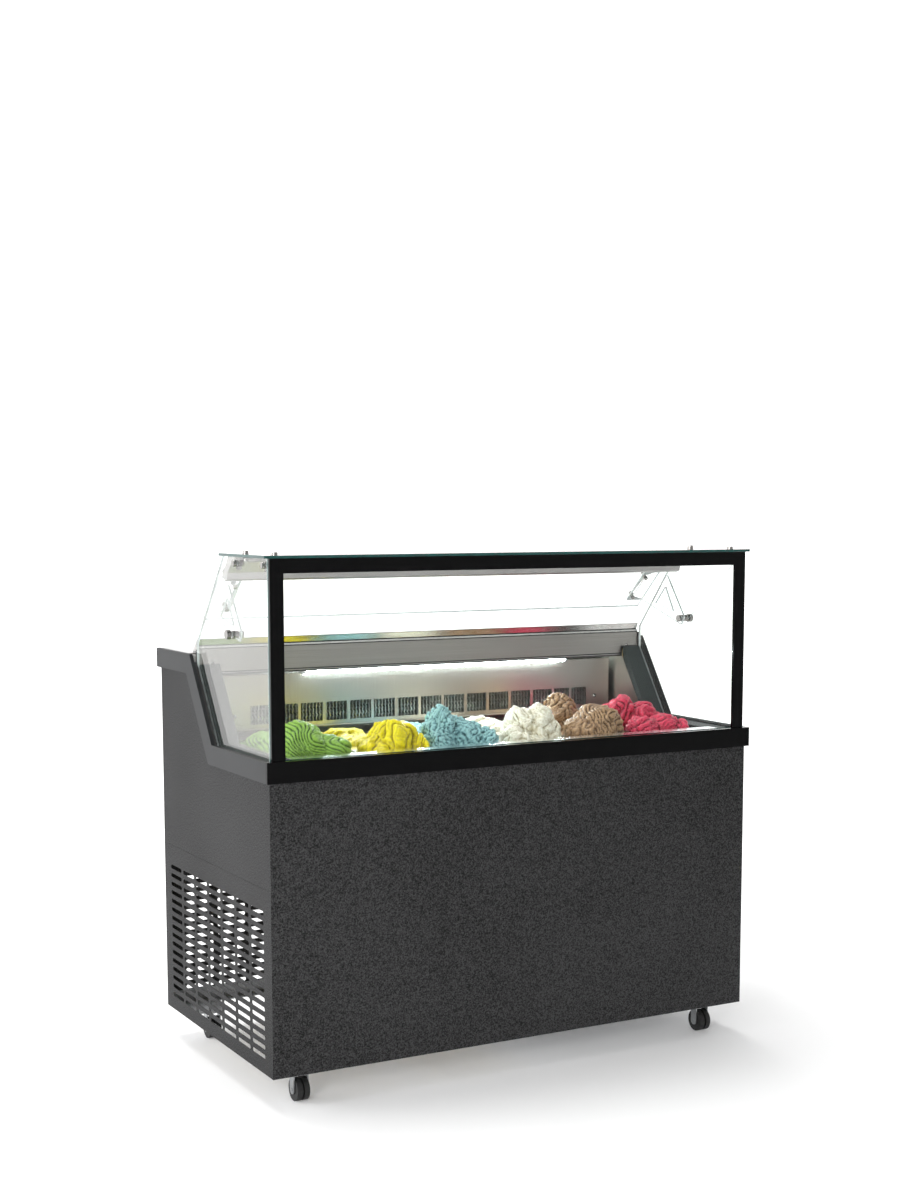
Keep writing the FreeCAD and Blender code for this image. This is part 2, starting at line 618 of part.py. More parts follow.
# ---------------------------------------------------------------- rear counter
def rear_counter():
    face, back = "fascia_face", "fascia_face + fascia_gauge"
    hem = f"({on_slope('foam_drop', back)} + fascia_gap)"
    notch = f"{hem} + fascia_notch"
    outline = [(f"-{GLASS_IN}", notch), (f"-{WELL_SIDE}", notch),
               (f"-{WELL_SIDE}", hem), (WELL_SIDE, hem),
               (WELL_SIDE, notch), (GLASS_IN, notch), (GLASS_IN, "fascia_top"),
               (f"-{GLASS_IN}", "fascia_top")]
    node("rear_fascia", plate("fascia_sheet", "XZ", (face, back), outline))
    foot, seat, tail = "(rim_back + 0.3)", "(rear_top - rim_seat)", f"{REAR} + rail_overhang"
    bottom = "rear_top - shelf_skirt"
    side = f"({INNER_SIDE} - shelf_gauge)"
    top = fuse("shelf_block",
               box("shelf_slab", (f"-{INNER_SIDE}", INNER_SIDE), (foot, tail),
                   (bottom, "rear_top")),
               box("shelf_seat", (f"-{INNER_SIDE}", INNER_SIDE), (back, f"{foot} + shelf_gauge"),
                   (bottom, seat)))
    under = [box("shelf_hollow", (f"-{side}", side),
                 (f"{foot} + shelf_gauge", f"{tail} - shelf_gauge"),
                 (f"{bottom} - 1", "rear_top - shelf_gauge")),
             box("seat_hollow", (f"-{side}", side),
                 (f"{back} + shelf_gauge", f"{foot} + shelf_gauge + 1"),
                 (f"{bottom} - 1", f"{seat} - shelf_gauge"))]
    node("rear_shelf", cut("shelf_tray", top, *under))
    crest = "fascia_face - 1"
    rim = [(crest, "fascia_top + 2"), (back, "fascia_top + 2"), (back, seat),
           ("rim_back", seat), ("rim_back", "rear_top"), (f"{crest} + 11", "rim_top"),
           (f"{crest} + 7", "rim_top"), (crest, "rim_top - 11")]
    node("rear_rim", plate("rim_bar", "YZ", (f"-{GLASS_IN}", GLASS_IN), rim))


# ---------------------------------------------------------------- operator's flap
def at_pivot(item):
    """Turn a shape drawn flat about the pivot to the flap's slope and carry it there."""
    turn(item, FreeCAD.Vector(1, 0, 0), -value("flap_slope"))
    item.setExpression("Placement.Rotation.Angle", linked("-flap_slope"))
    return move(item, 0, "pivot_back", "pivot_height")


def flap_screw_places():
    return ("flap_below * 0.08", "flap_below * 0.66")


def flap():
    inner, outer = "flap_radius", "flap_radius + flap_gauge"
    tip = f"{GLASS_IN} - 8"
    flange_in = "(web_plane - flange)"
    screw_x = f"({flange_in} + 12)"
    holes = [(f"{sign}{screw_x}", place, "screw_radius")
             for sign in ("-", "") for place in flap_screw_places()]
    sheet_body = plate("flap_pane", "XY", (inner, outer),
                       rectangle((f"-({tip})", tip), ("-flap_above", "flap_below")),
                       circles=holes)
    node("flap_sheet", at_pivot(sheet_body))
    web = [(-14, -8), (8, -14), (97, "flap_radius"), (-6, "flap_radius"), (-29, 113)]
    opening = [(11, 32), (54, 95), (-4, 98)]
    side = plate("flap_web", "YZ", ("web_plane", "web_plane + web_gauge"), web, opening,
                 circles=[(0, 0, "pin_radius + pivot_clearance")])
    leaf = plate("flap_leaf", "XY", ("flap_radius - bracket_gauge", "flap_radius"),
                 rectangle((flange_in, "web_plane + web_gauge"), (-6, 97)),
                 circles=[(screw_x, place, "screw_radius") for place in flap_screw_places()])
    arm = fuse("flap_arm", side, leaf)
    node("flap_brackets", at_pivot(group("arm_pair", arm, mirrored(arm))))
    screws = []
    for number, place in enumerate(flap_screw_places()):
        screw = capped_screw(f"flap_screw_{number}", "Z", (screw_x, place), outer,
                             "flap_radius - bracket_gauge", 1, ("screw_radius", "cap_radius - 1"))
        screws += [screw, mirrored(screw)]
    node("flap_screws", at_pivot(group("flap_screw_set", *screws)))


# ---------------------------------------------------------------- pans
def pan_middle(number):
    return f"({number} - 2.5) * pan_pitch"


def pans():
    half, bottom = "pan_width / 2", "(pan_top - pan_depth)"
    for number in range(6):
        middle = pan_middle(number)

        def block(name, inset, low, high, corner):
            inset = f"({inset})"
            return rounded_block(f"{name}_{number + 1}",
                                 (f"{middle} - {half} + {inset}", f"{middle} + {half} - {inset}"),
                                 (f"{PAN_FRONT} + {inset}", f"pan_back - {inset}"),
                                 (low, high), corner)

        rim = block("rim_sheet", "0", "pan_top - pan_gauge", "pan_top", "pan_corner + pan_rim")
        tub = block("tub", "pan_rim", bottom, "pan_top - pan_gauge / 2", "pan_corner")
        space = block("tub_space", "pan_rim + pan_gauge", f"{bottom} + pan_gauge", "pan_top + 1",
                      "pan_corner - pan_gauge")
        shell = fuse(f"pan_shell_{number + 1}", rim, tub)
        node(f"pan_{number + 1}", cut(f"pan_body_{number + 1}", shell, space))
        fill = block("fill", "pan_rim + pan_gauge + fill_gap", f"{bottom} + pan_gauge",
                     "pan_top - fill_drop", "pan_corner - pan_gauge - fill_gap")
        heaps = [fill]
        for side, share in (("front", 0.28), ("back", 0.70)):
            heap = doc.addObject("Part::Ellipsoid", f"heap_{side}_{number + 1}")
            heap.Angle1 = 0
            bind(heap, Radius1="heap_height", Radius2=f"{half} - pan_rim - 6",
                 Radius3="pan_length * 0.25")
            move(heap, middle, f"{PAN_FRONT} + {share} * pan_length", "pan_top - fill_drop")
            heaps.append(heap)
        node(f"gelato_{number + 1}", fuse(f"scoops_{number + 1}", *heaps))


def pan_rails():
    """Grid of bars that the pans hang in by their rims."""
    high = "(pan_top - pan_gauge)"
    tall = (f"{high} - support_bar", high)
    width = (f"-{WELL_SIDE} + liner_gauge", f"{WELL_SIDE} - liner_gauge")
    front, rear = f"{PAN_FRONT} + pan_rim - 1", "pan_back - pan_rim + 1"
    bars = [box("bar_front", width, (f"{front} - support_bar + 4", front), tall),
            box("bar_rear", width, (rear, f"{rear} + support_bar"), tall)]
    for number in range(7):
        middle = f"({number} - 3) * pan_pitch"
        reach = "(pan_pitch - pan_width) / 2"
        bars.append(box(f"bar_cross_{number}", (f"{middle} - {reach}", f"{middle} + {reach}"),
                        (front, rear), tall))
    node("pan_rails", group("rail_grid", *bars))


# ---------------------------------------------------------------- cooling
def evaporator():
    """Windowed steel cover, the finned coil behind it and the light bar above."""
    windows, edge = [], "window_right"
    wide = int(value("(window_right - 2 * narrow_pitch + coil_half) / window_pitch"))
    for kind in ["narrow"] * 2 + ["window"] * wide:
        left = f"({edge} - {kind}_width)"
        windows.append(rectangle((left, edge), ("window_bottom",
                                                "window_bottom + window_height")))
        edge = f"({edge} - {kind}_pitch)"
    face, back = "cover_face", "(cover_face + cover_gauge)"
    outline = rectangle(("-cover_half", "cover_half"), ("cover_bottom", "cover_top"))
    front = plate("cover_sheet", "XZ", (face, back), outline, *windows)
    lip = box("cover_lip", ("-cover_half", "cover_half"), (f"{face} - 12", back),
              ("cover_bottom - cover_gauge", "cover_bottom"))
    top_lip = box("cover_top_lip", ("-cover_half", "cover_half"), (back, f"{back} + 14"),
                  ("cover_top - cover_gauge", "cover_top"))
    node("evaporator_cover", fuse("cover_folded", front, lip, top_lip))
    near = f"({back} + coil_gap)"
    fins = box("coil_fins", ("-coil_half", "coil_half"), (near, f"{near} + coil_depth"),
               ("cover_bottom", "window_bottom + window_height + 20"))
    tubes = []
    for level in (0, 1):
        for row in (0, 1):
            tubes.append(rod(f"coil_tube_{level}_{row}", "X", ("-coil_half - 12", "coil_half + 12"),
                             (f"{near} + coil_depth * {0.25 + 0.5 * row}",
                              f"cover_bottom + 22 + {32 * level}"), "coil_tube"))
    node("evaporator_coil", fuse("coil_block", fins, *tubes))
    node("led_bar", box("light_tube", ("led_left", "led_right"), ("fascia_face + 20",
                        "fascia_face + 20 + led_size"),
                        ("ceiling - liner_gauge - led_size", "ceiling - liner_gauge")))


def fan(name, radius, direction, place):
    """Hub with five pitched blades, drawn about its own Z axis."""
    body = doc.addObject("PartDesign::Body", name)
    hub = body.newObject("PartDesign::AdditiveCylinder", name + "_hub")
    bind(hub, Radius="fan_hub", Height="fan_hub")
    blade = body.newObject("PartDesign::AdditiveBox", name + "_blade")
    blade.AttachmentSupport = [(origin_plane(body, "XY_Plane"), "")]
    blade.MapMode = "ObjectXY"
    blade.AttachmentOffset = FreeCAD.Placement(FreeCAD.Vector(0, 0, 0),
                                               FreeCAD.Rotation(FreeCAD.Vector(1, 0, 0), 28))
    bind(blade, Length=radius, Width="fan_hub * 1.4", Height="blade_gauge",
         AttachmentOffset__Base__y="-fan_hub * 0.6", AttachmentOffset__Base__z="fan_hub * 0.1")
    doc.recompute()
    ring = body.newObject("PartDesign::PolarPattern", name + "_ring")
    ring.Originals = [blade]
    ring.Axis = (origin_plane(body, "Z_Axis"), [""])
    ring.Angle = 360
    ring.Occurrences = 5
    body.Tip = ring
    body.Placement = FreeCAD.Placement(FreeCAD.Vector(), TURNS[direction])
    node(name, move(body, *place))


FAN_X = "(condenser_x - fan_hub - 12)"
EVAPORATOR_FAN_Y = "(well_rear - liner_gauge - 45 - fan_hub)"
COMPRESSOR_BASE = "(caster_height + frame_gauge)"
FAN_HEIGHT = f"({COMPRESSOR_BASE} + condenser_height / 2)"


def fans():
    fan("condenser_fan", "condenser_fan_radius", "X", (FAN_X, 0, FAN_HEIGHT))
    height = "well_bottom + evaporator_fan_radius + 25"
    fan("evaporator_fan", "evaporator_fan_radius", "Y", (0, EVAPORATOR_FAN_Y, height))
    front = rod("condenser_motor", "X", (f"{FAN_X} - 46", f"{FAN_X} - 1"), (0, FAN_HEIGHT),
                "motor_radius")
    bracket = box("motor_bracket", (f"{FAN_X} - 40", f"{FAN_X} - 30"), ("-motor_radius",
                  "motor_radius"), (COMPRESSOR_BASE, f"{FAN_HEIGHT} - motor_radius * 0.8"))
    rear = rod("evaporator_motor", "Y", (f"{EVAPORATOR_FAN_Y} + fan_hub + 1",
                                         "well_rear - liner_gauge"), (0, height), "motor_radius")
    node("fan_motors", group("motor_set", fuse("motor_stand", front, bracket), rear))


def condensing_unit():
    body = doc.addObject("PartDesign::Body", "compressor_can")
    radius, high = "compressor_radius", f"{COMPRESSOR_BASE} + compressor_height"
    profile = [(0, f"{COMPRESSOR_BASE} + 15"), (radius, f"{COMPRESSOR_BASE} + 15"),
               (radius, f"{high} - {radius} * 0.45"), (f"{radius} * 0.62", high), (0, high)]
    sketch = sketch_on(body, "XZ", 0, [profile])
    spun = body.newObject("PartDesign::Revolution", "compressor_turned")
    spun.Profile = sketch
    spun.ReferenceAxis = (sketch, ["V_Axis"])
    spun.Angle = 360
    move(body, "compressor_x", 0, 0)
    foot = box("compressor_foot", (f"compressor_x - {radius} - 20", f"compressor_x + {radius} + 20"),
               ("-70", "70"), (COMPRESSOR_BASE, f"{COMPRESSOR_BASE} + 15"))
    node("compressor", fuse("compressor_body", body, foot))
    wide = ("-condenser_half", "condenser_half")
    deep = ("condenser_x", "condenser_x + condenser_depth")
    core = box("condenser_core", deep, wide, (COMPRESSOR_BASE,
                                              f"{COMPRESSOR_BASE} + condenser_height"))
    node("condenser", core)


def tube(name, points):
    """Round pipe along straight runs joined by tangent bends."""
    bend, radius = value("pipe_bend"), value("pipe_radius")
    corners = [FreeCAD.Vector(*(value(part) for part in point)) for point in points]
    edges, start = [], corners[0]
    for before, corner, after in zip(corners, corners[1:], corners[2:]):
        arrive, leave = (corner - before).normalize(), (after - corner).normalize()
        first, last = corner - arrive * bend, corner + leave * bend
        middle = corner + (leave - arrive).normalize() * bend * (2 ** 0.5 - 1)
        edges += [Part.LineSegment(start, first).toShape(),
                  Part.Arc(first, middle, last).toShape()]
        start = last
    edges.append(Part.LineSegment(start, corners[-1]).toShape())
    path = Part.Wire(edges)
    heading = (corners[1] - corners[0]).normalize()
    section = Part.Wire(Part.makeCircle(radius, corners[0], heading))
    pipe = doc.addObject("Part::Feature", name)
    pipe.Shape = path.makePipeShell([section], True, False)
    return pipe


def refrigerant_pipes():
    """Discharge line to the condenser and the two lines that rise into the insulation."""
    can_top = f"({COMPRESSOR_BASE} + compressor_height)"
    coil_top = f"({COMPRESSOR_BASE} + condenser_height)"
    high, left, coil_middle = f"{coil_top} + 50", "compressor_x", "condenser_x + 20"
    under, front_side, rear_side = "well_bottom - floor_wall", "-condenser_half + 30", "60"
    discharge = tube("discharge_line",
                     [(left, 0, can_top), (left, 0, high), (left, front_side, high),
                      (coil_middle, front_side, high), (coil_middle, front_side, coil_top)])
    suction = tube("suction_line", [(f"{left} - compressor_radius * 0.5", 0, can_top),
                                    (f"{left} - compressor_radius * 0.5", 0, under)])
    liquid = tube("liquid_line",
                  [(coil_middle, rear_side, coil_top), (coil_middle, rear_side, f"{high} + 40"),
                   (left, rear_side, f"{high} + 40"), (left, rear_side, under)])
    node("refrigerant_pipes", group("pipe_set", discharge, suction, liquid))


# ---------------------------------------------------------------- controls
def controls():
    """Rear control plate with a rocker switch, and the mains gland below it."""
    face = f"{REAR} + panel_depth"
    middle = "(panel_low + panel_high) / 2"
    gap = "rocker_gap"
    hole = rectangle((f"rocker_x - rocker_width / 2 - {gap}", f"rocker_x + rocker_width / 2 + {gap}"),
                     (f"{middle} - rocker_height / 2 - {gap}",
                      f"{middle} + rocker_height / 2 + {gap}"))
    outline = rectangle(("panel_left", "panel_right"), ("panel_low", "panel_high"))
    node("control_panel", plate("control_plate", "XZ", (REAR, face), outline, hole))
    depth = "(panel_depth - 1.5)"
    rocker = plate("rocker", "YZ", ("-rocker_width / 2", "rocker_width / 2"),
                   [(f"-{depth} / 2", "-rocker_height / 2"), (f"{depth} / 2", "-rocker_height / 2"),
                    (f"{depth} / 2 - 1", "0"), (f"{depth} / 2", "rocker_height / 2"),
                    (f"-{depth} / 2", "rocker_height / 2"), (f"-{depth} / 2 + 1", "0")])
    turn(rocker, FreeCAD.Vector(1, 0, 0), -value("rocker_tilt"))
    rocker.setExpression("Placement.Rotation.Angle", linked("-rocker_tilt"))
    move(rocker, "rocker_x", f"{REAR} + panel_depth * 0.7", middle)
    node("power_switch", rocker)
    centre = ("(panel_left + panel_right) / 2", "panel_low - 60")
    gland = cut("gland_body",
                rod("gland_barrel", "Y", (REAR, f"{REAR} + rail_overhang"), centre,
                    "inlet_radius"),
                rod("gland_bore", "Y", (f"{REAR} + 2", f"{REAR} + rail_overhang + 1"), centre,
                    "inlet_radius * 0.4"))
    node("power_inlet", gland)


# ---------------------------------------------------------------- casters
def casters():
    plates = []
    corners = [("front_left", "-", "-"), ("front_right", "", "-"),
               ("rear_left", "-", ""), ("rear_right", "", "")]
    low, high = "(fork_top - fork_gauge)", "(caster_height - caster_plate_gauge)"
    pin_end = "(fork_top - fork_gauge - 3)"
    wheel_half = "(wheel_width + wheel_gap / 2)"
    leg = f"({wheel_half} + fork_gap)"
    for name, side, end in corners:
        x, y = f"{side}caster_x", f"{end}caster_y"
        axle_y = f"{y} - trail"
        half = "caster_plate / 2"
        square = box(f"caster_flange_{name}", (f"{x} - {half}", f"{x} + {half}"),
                     (f"{y} - {half}", f"{y} + {half}"), (high, "caster_height"))
        pin = rod(f"kingpin_{name}", "Z", (pin_end, high), (x, y), "kingpin")
        collar = rod(f"kingpin_collar_{name}", "Z", ("fork_top + 0.3", high), (x, y), "kingpin * 2")
        head = rod(f"kingpin_head_{name}", "Z", (f"{pin_end} - 1", f"{low} - 0.3"), (x, y),
                   "kingpin * 1.5")
        plates.append(fuse(f"caster_top_{name}", square, pin, collar, head))
        crown = rod(f"fork_crown_{name}", "Z", (low, "fork_top"), (x, y), "fork_width")
        bore = rod(f"fork_bore_{name}", "Z", (f"{low} - 1", "fork_top + 1"), (x, y),
                   "kingpin + pivot_clearance")
        solids = [crown]
        for hand in (-1, 1):
            inner, outer = f"{x} + {hand} * {leg}", f"{x} + {hand} * ({leg} + fork_gauge)"
            ends = (inner, outer) if hand > 0 else (outer, inner)
            tail = (f"{axle_y} - fork_width / 2", f"{y} + fork_width / 4")
            solids.append(box(f"fork_leg_{name}_{hand + 1}", ends,
                              (tail[0], f"{axle_y} + fork_width / 2"), ("wheel_radius", "fork_top")))
            solids.append(rod(f"fork_eye_{name}_{hand + 1}", "X", ends, (axle_y, "wheel_radius"),
                              "fork_width / 2"))
        solids.append(rod(f"axle_{name}", "X", (f"{x} - {leg} - fork_gauge - 1.5",
                                                f"{x} + {leg} + fork_gauge + 1.5"),
                          (axle_y, "wheel_radius"), "axle"))
        node(f"caster_fork_{name}", cut(f"fork_{name}", fuse(f"fork_solid_{name}", *solids), bore))
        ends = [(f"{x} - {wheel_half}", f"{x} - wheel_gap / 2"),
                (f"{x} + wheel_gap / 2", f"{x} + {wheel_half}")]
        tyres = [rod(f"tyre_{name}_{number}", "X", span, (axle_y, "wheel_radius"), "wheel_radius")
                 for number, span in enumerate(ends)]
        hub = rod(f"hub_{name}", "X", (ends[0][0], ends[1][1]), (axle_y, "wheel_radius"),
                  "wheel_radius - 6")
        hole = rod(f"axle_hole_{name}", "X", (f"{ends[0][0]} - 1", f"{ends[1][1]} + 1"),
                   (axle_y, "wheel_radius"), "axle + pivot_clearance")
        node(f"caster_wheels_{name}", cut(f"twin_wheel_{name}", fuse(f"twin_{name}", *tyres, hub),
                                          hole))
    node("caster_plates", group("caster_top_set", *plates))


# ---------------------------------------------------------------- build and export
def check(items):
    doc.recompute()
    broken = [item.Label for item in doc.Objects if {"Invalid", "Error"} & set(item.State)]
    if broken:
        raise SystemExit(f"failed objects: {broken}")
    for item in items:
        if item.Shape.isNull() or not item.Shape.isValid() or not item.Shape.Solids:
            raise SystemExit(f"bad shape: {item.Label}")


def export(items):
    os.makedirs("parts", exist_ok=True)
    for item in items:
        item.Shape.exportStep(f"parts/{item.Label}.step")
    print(f"{len(items)} nodes written")


for make in (base_frame, front_panel, side_panels, grilles, rear_panel, rails, insulated_well,
             side_cheeks, front_ledge, front_glass, side_glasses, glass_gaskets, top_glass,
             glass_brackets, glass_fasteners, top_profile, rear_counter, flap, pans, pan_rails,
             evaporator, fans, condensing_unit, refrigerant_pipes, controls, casters):
    make()
check(nodes)
export(nodes)
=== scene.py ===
"""Ice cream dipping cabinet: materials, glass, gelato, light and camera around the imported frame.

Lengths are in metres, except in the table of flavours, which is in millimetres. The places of
the pieces come from the frame's own boxes.
"""

import math

import bmesh
import bpy
import numpy as np
from mathutils import Matrix, Vector, noise


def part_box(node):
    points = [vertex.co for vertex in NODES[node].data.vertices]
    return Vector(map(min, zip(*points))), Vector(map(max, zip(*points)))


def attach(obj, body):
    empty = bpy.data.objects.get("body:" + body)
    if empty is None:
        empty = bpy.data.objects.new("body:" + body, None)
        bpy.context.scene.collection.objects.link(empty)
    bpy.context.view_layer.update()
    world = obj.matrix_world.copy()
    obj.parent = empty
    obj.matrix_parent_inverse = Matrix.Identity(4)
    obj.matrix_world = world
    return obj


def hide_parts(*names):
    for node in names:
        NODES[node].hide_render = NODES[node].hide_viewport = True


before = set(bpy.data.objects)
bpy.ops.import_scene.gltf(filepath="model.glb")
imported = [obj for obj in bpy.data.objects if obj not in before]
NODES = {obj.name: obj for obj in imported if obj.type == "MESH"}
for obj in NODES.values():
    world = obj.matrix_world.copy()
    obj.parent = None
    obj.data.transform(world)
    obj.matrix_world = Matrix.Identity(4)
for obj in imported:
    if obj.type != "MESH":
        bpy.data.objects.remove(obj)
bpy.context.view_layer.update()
SCENE = bpy.context.scene


# ---------------------------------------------------------------- camera, floor and light
def make_camera():
    """Camera at the picture's viewing angle, with its long side upright."""
    camera = bpy.data.objects.new("camera", bpy.data.cameras.new("camera"))
    SCENE.collection.objects.link(camera)
    camera.location = (-1.9546, -3.5861, 1.2363)
    camera.rotation_euler = (math.radians(83.457), 0, math.radians(-29.114))
    camera.data.sensor_fit = "VERTICAL"
    camera.data.sensor_height = 36
    camera.data.lens = 52.785
    camera.data.shift_x = -0.0168
    camera.data.shift_y = 0.0931
    camera.data.dof.use_dof = False
    SCENE.camera = camera


def link(name, mesh):
    piece = bpy.data.objects.new(name, mesh)
    SCENE.collection.objects.link(piece)
    return piece


def mesh_from(bm, name, smooth=False):
    mesh = bpy.data.meshes.new(name)
    bm.normal_update()
    bm.to_mesh(mesh)
    bm.free()
    mesh.polygons.foreach_set("use_smooth", [smooth] * len(mesh.polygons))
    return mesh


def around(count):
    """Angles of evenly spaced points on a circle."""
    return [math.tau * k / count for k in range(count)]


def join_loops(bm, loops):
    """Side faces between each closed loop of vertices and the next."""
    for lower, upper in zip(loops, loops[1:]):
        for k in range(len(lower)):
            n = (k + 1) % len(lower)
            bm.faces.new((lower[k], lower[n], upper[n], upper[k]))


def make_studio(white):
    """One seamless sheet: floor, a round bend and the wall behind, on all four sides."""
    reach, bend, height, steps, sides = 7.0, 2.5, 9.0, 12, 64
    rings = [(reach, 0.0)]
    for step in range(1, steps + 1):
        angle = math.pi / 2 * step / steps
        rings.append((reach + bend * math.sin(angle), bend * (1 - math.cos(angle))))
    rings.append((reach + bend, height))
    bm = bmesh.new()
    loops = []
    for radius, level in rings:
        loops.append([bm.verts.new((radius * math.cos(turn), radius * math.sin(turn), level))
                      for turn in around(sides)])
    bm.faces.new(loops[0])
    join_loops(bm, loops)
    bmesh.ops.recalc_face_normals(bm, faces=bm.faces)
    bmesh.ops.reverse_faces(bm, faces=bm.faces)
    floor = link("studio_sweep", mesh_from(bm, "studio_sweep", smooth=True))
    floor.data.materials.append(white)


def area_light(name, place, target, size, power):
    """Rectangular lamp that faces a target."""
    data = bpy.data.lights.new(name, "AREA")
    data.shape = "RECTANGLE"
    data.size, data.size_y = size
    data.energy = power
    lamp = bpy.data.objects.new(name, data)
    SCENE.collection.objects.link(lamp)
    lamp.location = place
    aim = Vector(target) - Vector(place)
    lamp.rotation_euler = aim.to_track_quat("-Z", "Y").to_euler()


def light_studio():
    """White surroundings, one wide lamp overhead, a softbox to the left and a low front fill."""
    world = bpy.data.worlds.new("studio")
    SCENE.world = world
    world.use_nodes = True
    background = world.node_tree.nodes["Background"]
    background.inputs["Color"].default_value = (1, 1, 1, 1)
    background.inputs["Strength"].default_value = 0.2
    area_light("overhead", (0.1, 0.9, 4.2), (0.1, 0.2, 0), (3.2, 3.0), 150)
    area_light("left_softbox", (-3.6, 1.2, 1.4), (-0.6, 0, 0.5), (2.0, 2.0), 60)
    area_light("front_fill", (-2.3, -2.2, 1.0), (-0.6, -0.3, 0.35), (0.7, 0.7), 36)


def studio_finish():
    """Matt white sheet that glows: softly near the middle, more behind, hardly in front."""
    near_glow, front_glow, back_glow = 0.1, 0.02, 0.8
    inner, outer = 1.2, 5.0
    backwards, front_end, back_end = (-0.35, 0.94, 0.0), -2.5, 3.0
    s = Shader("studio_white")
    tone = s.ramp(s.noise(1.5), [(0.3, 0.9), (0.7, 0.92)])
    away = s.add("ShaderNodeVectorMath", {"operation": "LENGTH"}, Vector=s.place).outputs["Value"]
    depth = s.add("ShaderNodeVectorMath", {"operation": "DOT_PRODUCT"}, Vector=s.place)
    depth.inputs[1].default_value = backwards
    behind = s.spread(depth.outputs["Value"], front_glow, back_glow, front_end, back_end)
    middle = s.spread(away, near_glow, 0.0, inner, outer)
    far = s.spread(away, 0.0, 1.0, inner, outer)
    glow = s.maths("ADD", middle, s.maths("MULTIPLY", far, behind))
    return s.principled(Base_Color=tone, Roughness=0.9, Specular_IOR_Level=0.1,
                        Emission_Color=(1.0, 1.0, 1.0), Emission_Strength=glow)


def set_colour_management():
    """Plain display transform, so that the white sheet comes out white."""
    SCENE.view_settings.view_transform = "Standard"
    SCENE.view_settings.look = "None"
    SCENE.view_settings.exposure = 0


# ---------------------------------------------------------------- material building
def shade(tone, share):
    """A colour made darker."""
    return tuple(share * channel for channel in tone)


class Shader:
    """One material's node tree, with a short call for each kind of node it uses."""

    def __init__(self, name):
        self.material = bpy.data.materials.new(name)
        self.material.use_nodes = True
        self.tree = self.material.node_tree
        self.tree.nodes.clear()
        self.place = self.add("ShaderNodeTexCoord").outputs["Object"]

    def add(self, kind, settings=None, **inputs):
        node = self.tree.nodes.new(kind)
        for key, setting in (settings or {}).items():
            setattr(node, key, setting)
        for key, entry in inputs.items():
            self.feed(node.inputs[key.replace("_", " ")], entry)
        return node

    def feed(self, socket, entry):
        if isinstance(entry, bpy.types.NodeSocket):
            self.tree.links.new(entry, socket)
        elif isinstance(entry, tuple) and len(entry) == 3 and socket.type == "RGBA":
            socket.default_value = (*entry, 1)
        else:
            socket.default_value = entry

    def stretched(self, factors):
        """Object coordinates multiplied axis by axis."""
        return self.add("ShaderNodeMapping", Vector=self.place, Scale=factors).outputs["Vector"]

    def noise(self, scale, detail=2.0, distortion=0.0, place=None):
        return self.add("ShaderNodeTexNoise", Vector=place or self.place, Scale=scale,
                        Detail=detail, Distortion=distortion).outputs["Fac"]

    def ramp(self, factor, stops):
        node = self.add("ShaderNodeValToRGB", Fac=factor)
        points = node.color_ramp.elements
        while len(points) < len(stops):
            points.new(0.5)
        for point, (position, colour) in zip(points, stops):
            point.position = position
            point.color = (*colour, 1) if isinstance(colour, tuple) else (colour,) * 3 + (1,)
        return node.outputs["Color"]

    def spread(self, factor, low, high, start=0.0, stop=1.0):
        """A factor that runs from start to stop made into a number from low to high."""
        node = self.add("ShaderNodeMapRange", Value=factor)
        node.inputs["From Min"].default_value = start
        node.inputs["From Max"].default_value = stop
        node.inputs["To Min"].default_value = low
        node.inputs["To Max"].default_value = high
        return node.outputs["Result"]

    def maths(self, operation, first, second):
        node = self.add("ShaderNodeMath", {"operation": operation})
        self.feed(node.inputs[0], first)
        self.feed(node.inputs[1], second)
        return node.outputs[0]

    def bump(self, height, distance, normal=None):
        node = self.add("ShaderNodeBump", Height=height, Distance=distance, Strength=1.0)
        if normal is not None:
            self.feed(node.inputs["Normal"], normal)
        return node.outputs["Normal"]

    def finish(self, surface):
        output = self.add("ShaderNodeOutputMaterial")
        self.tree.links.new(surface, output.inputs["Surface"])
        return self.material

    def principled(self, **inputs):
        return self.finish(self.add("ShaderNodeBsdfPrincipled", **inputs).outputs["BSDF"])


def powder_coat(name, dark, light):
    """Fine-textured paint: a tight speckle over a slow drift of tone."""
    s = Shader(name)
    speckle = s.noise(360)
    drift = s.noise(2.2)
    both = s.maths("ADD", s.maths("MULTIPLY", speckle, 0.85), s.maths("MULTIPLY", drift, 0.15))
    colour = s.ramp(both, [(0.35, dark), (0.63, light)])
    return s.principled(Base_Color=colour, Roughness=s.spread(speckle, 0.62, 0.78),
                        Specular_IOR_Level=0.14, Normal=s.bump(speckle, 0.0002))


def satin_paint(name, tone, roughness, specular=0.35):
    """Smooth baked enamel with a faint orange peel."""
    s = Shader(name)
    peel = s.noise(260, detail=1)
    drift = s.noise(5, detail=3)
    colour = s.ramp(drift, [(0.3, shade(tone, 0.82)), (0.7, tone)])
    return s.principled(Base_Color=colour, Roughness=s.spread(drift, roughness, roughness + 0.1),
                        Specular_IOR_Level=specular, Normal=s.bump(peel, 0.00006))


def brushed(name, tone, along, roughness=0.3, depth=0.00012):
    """Brushed or rolled metal whose scratches run along one axis."""
    s = Shader(name)
    along_grain, across_grain = 2.5, 420.0
    factors = tuple(along_grain if axis == along else across_grain for axis in "xyz")
    scratches = s.noise(1.0, detail=4, place=s.stretched(factors))
    drift = s.noise(3.0)
    colour = s.ramp(scratches, [(0.3, shade(tone, 0.86)), (0.7, tone)])
    rough = s.maths("ADD", s.spread(scratches, roughness - 0.05, roughness + 0.07),
                    s.spread(drift, -0.04, 0.04))
    return s.principled(Base_Color=colour, Metallic=1.0, Roughness=rough,
                        Normal=s.bump(scratches, depth))


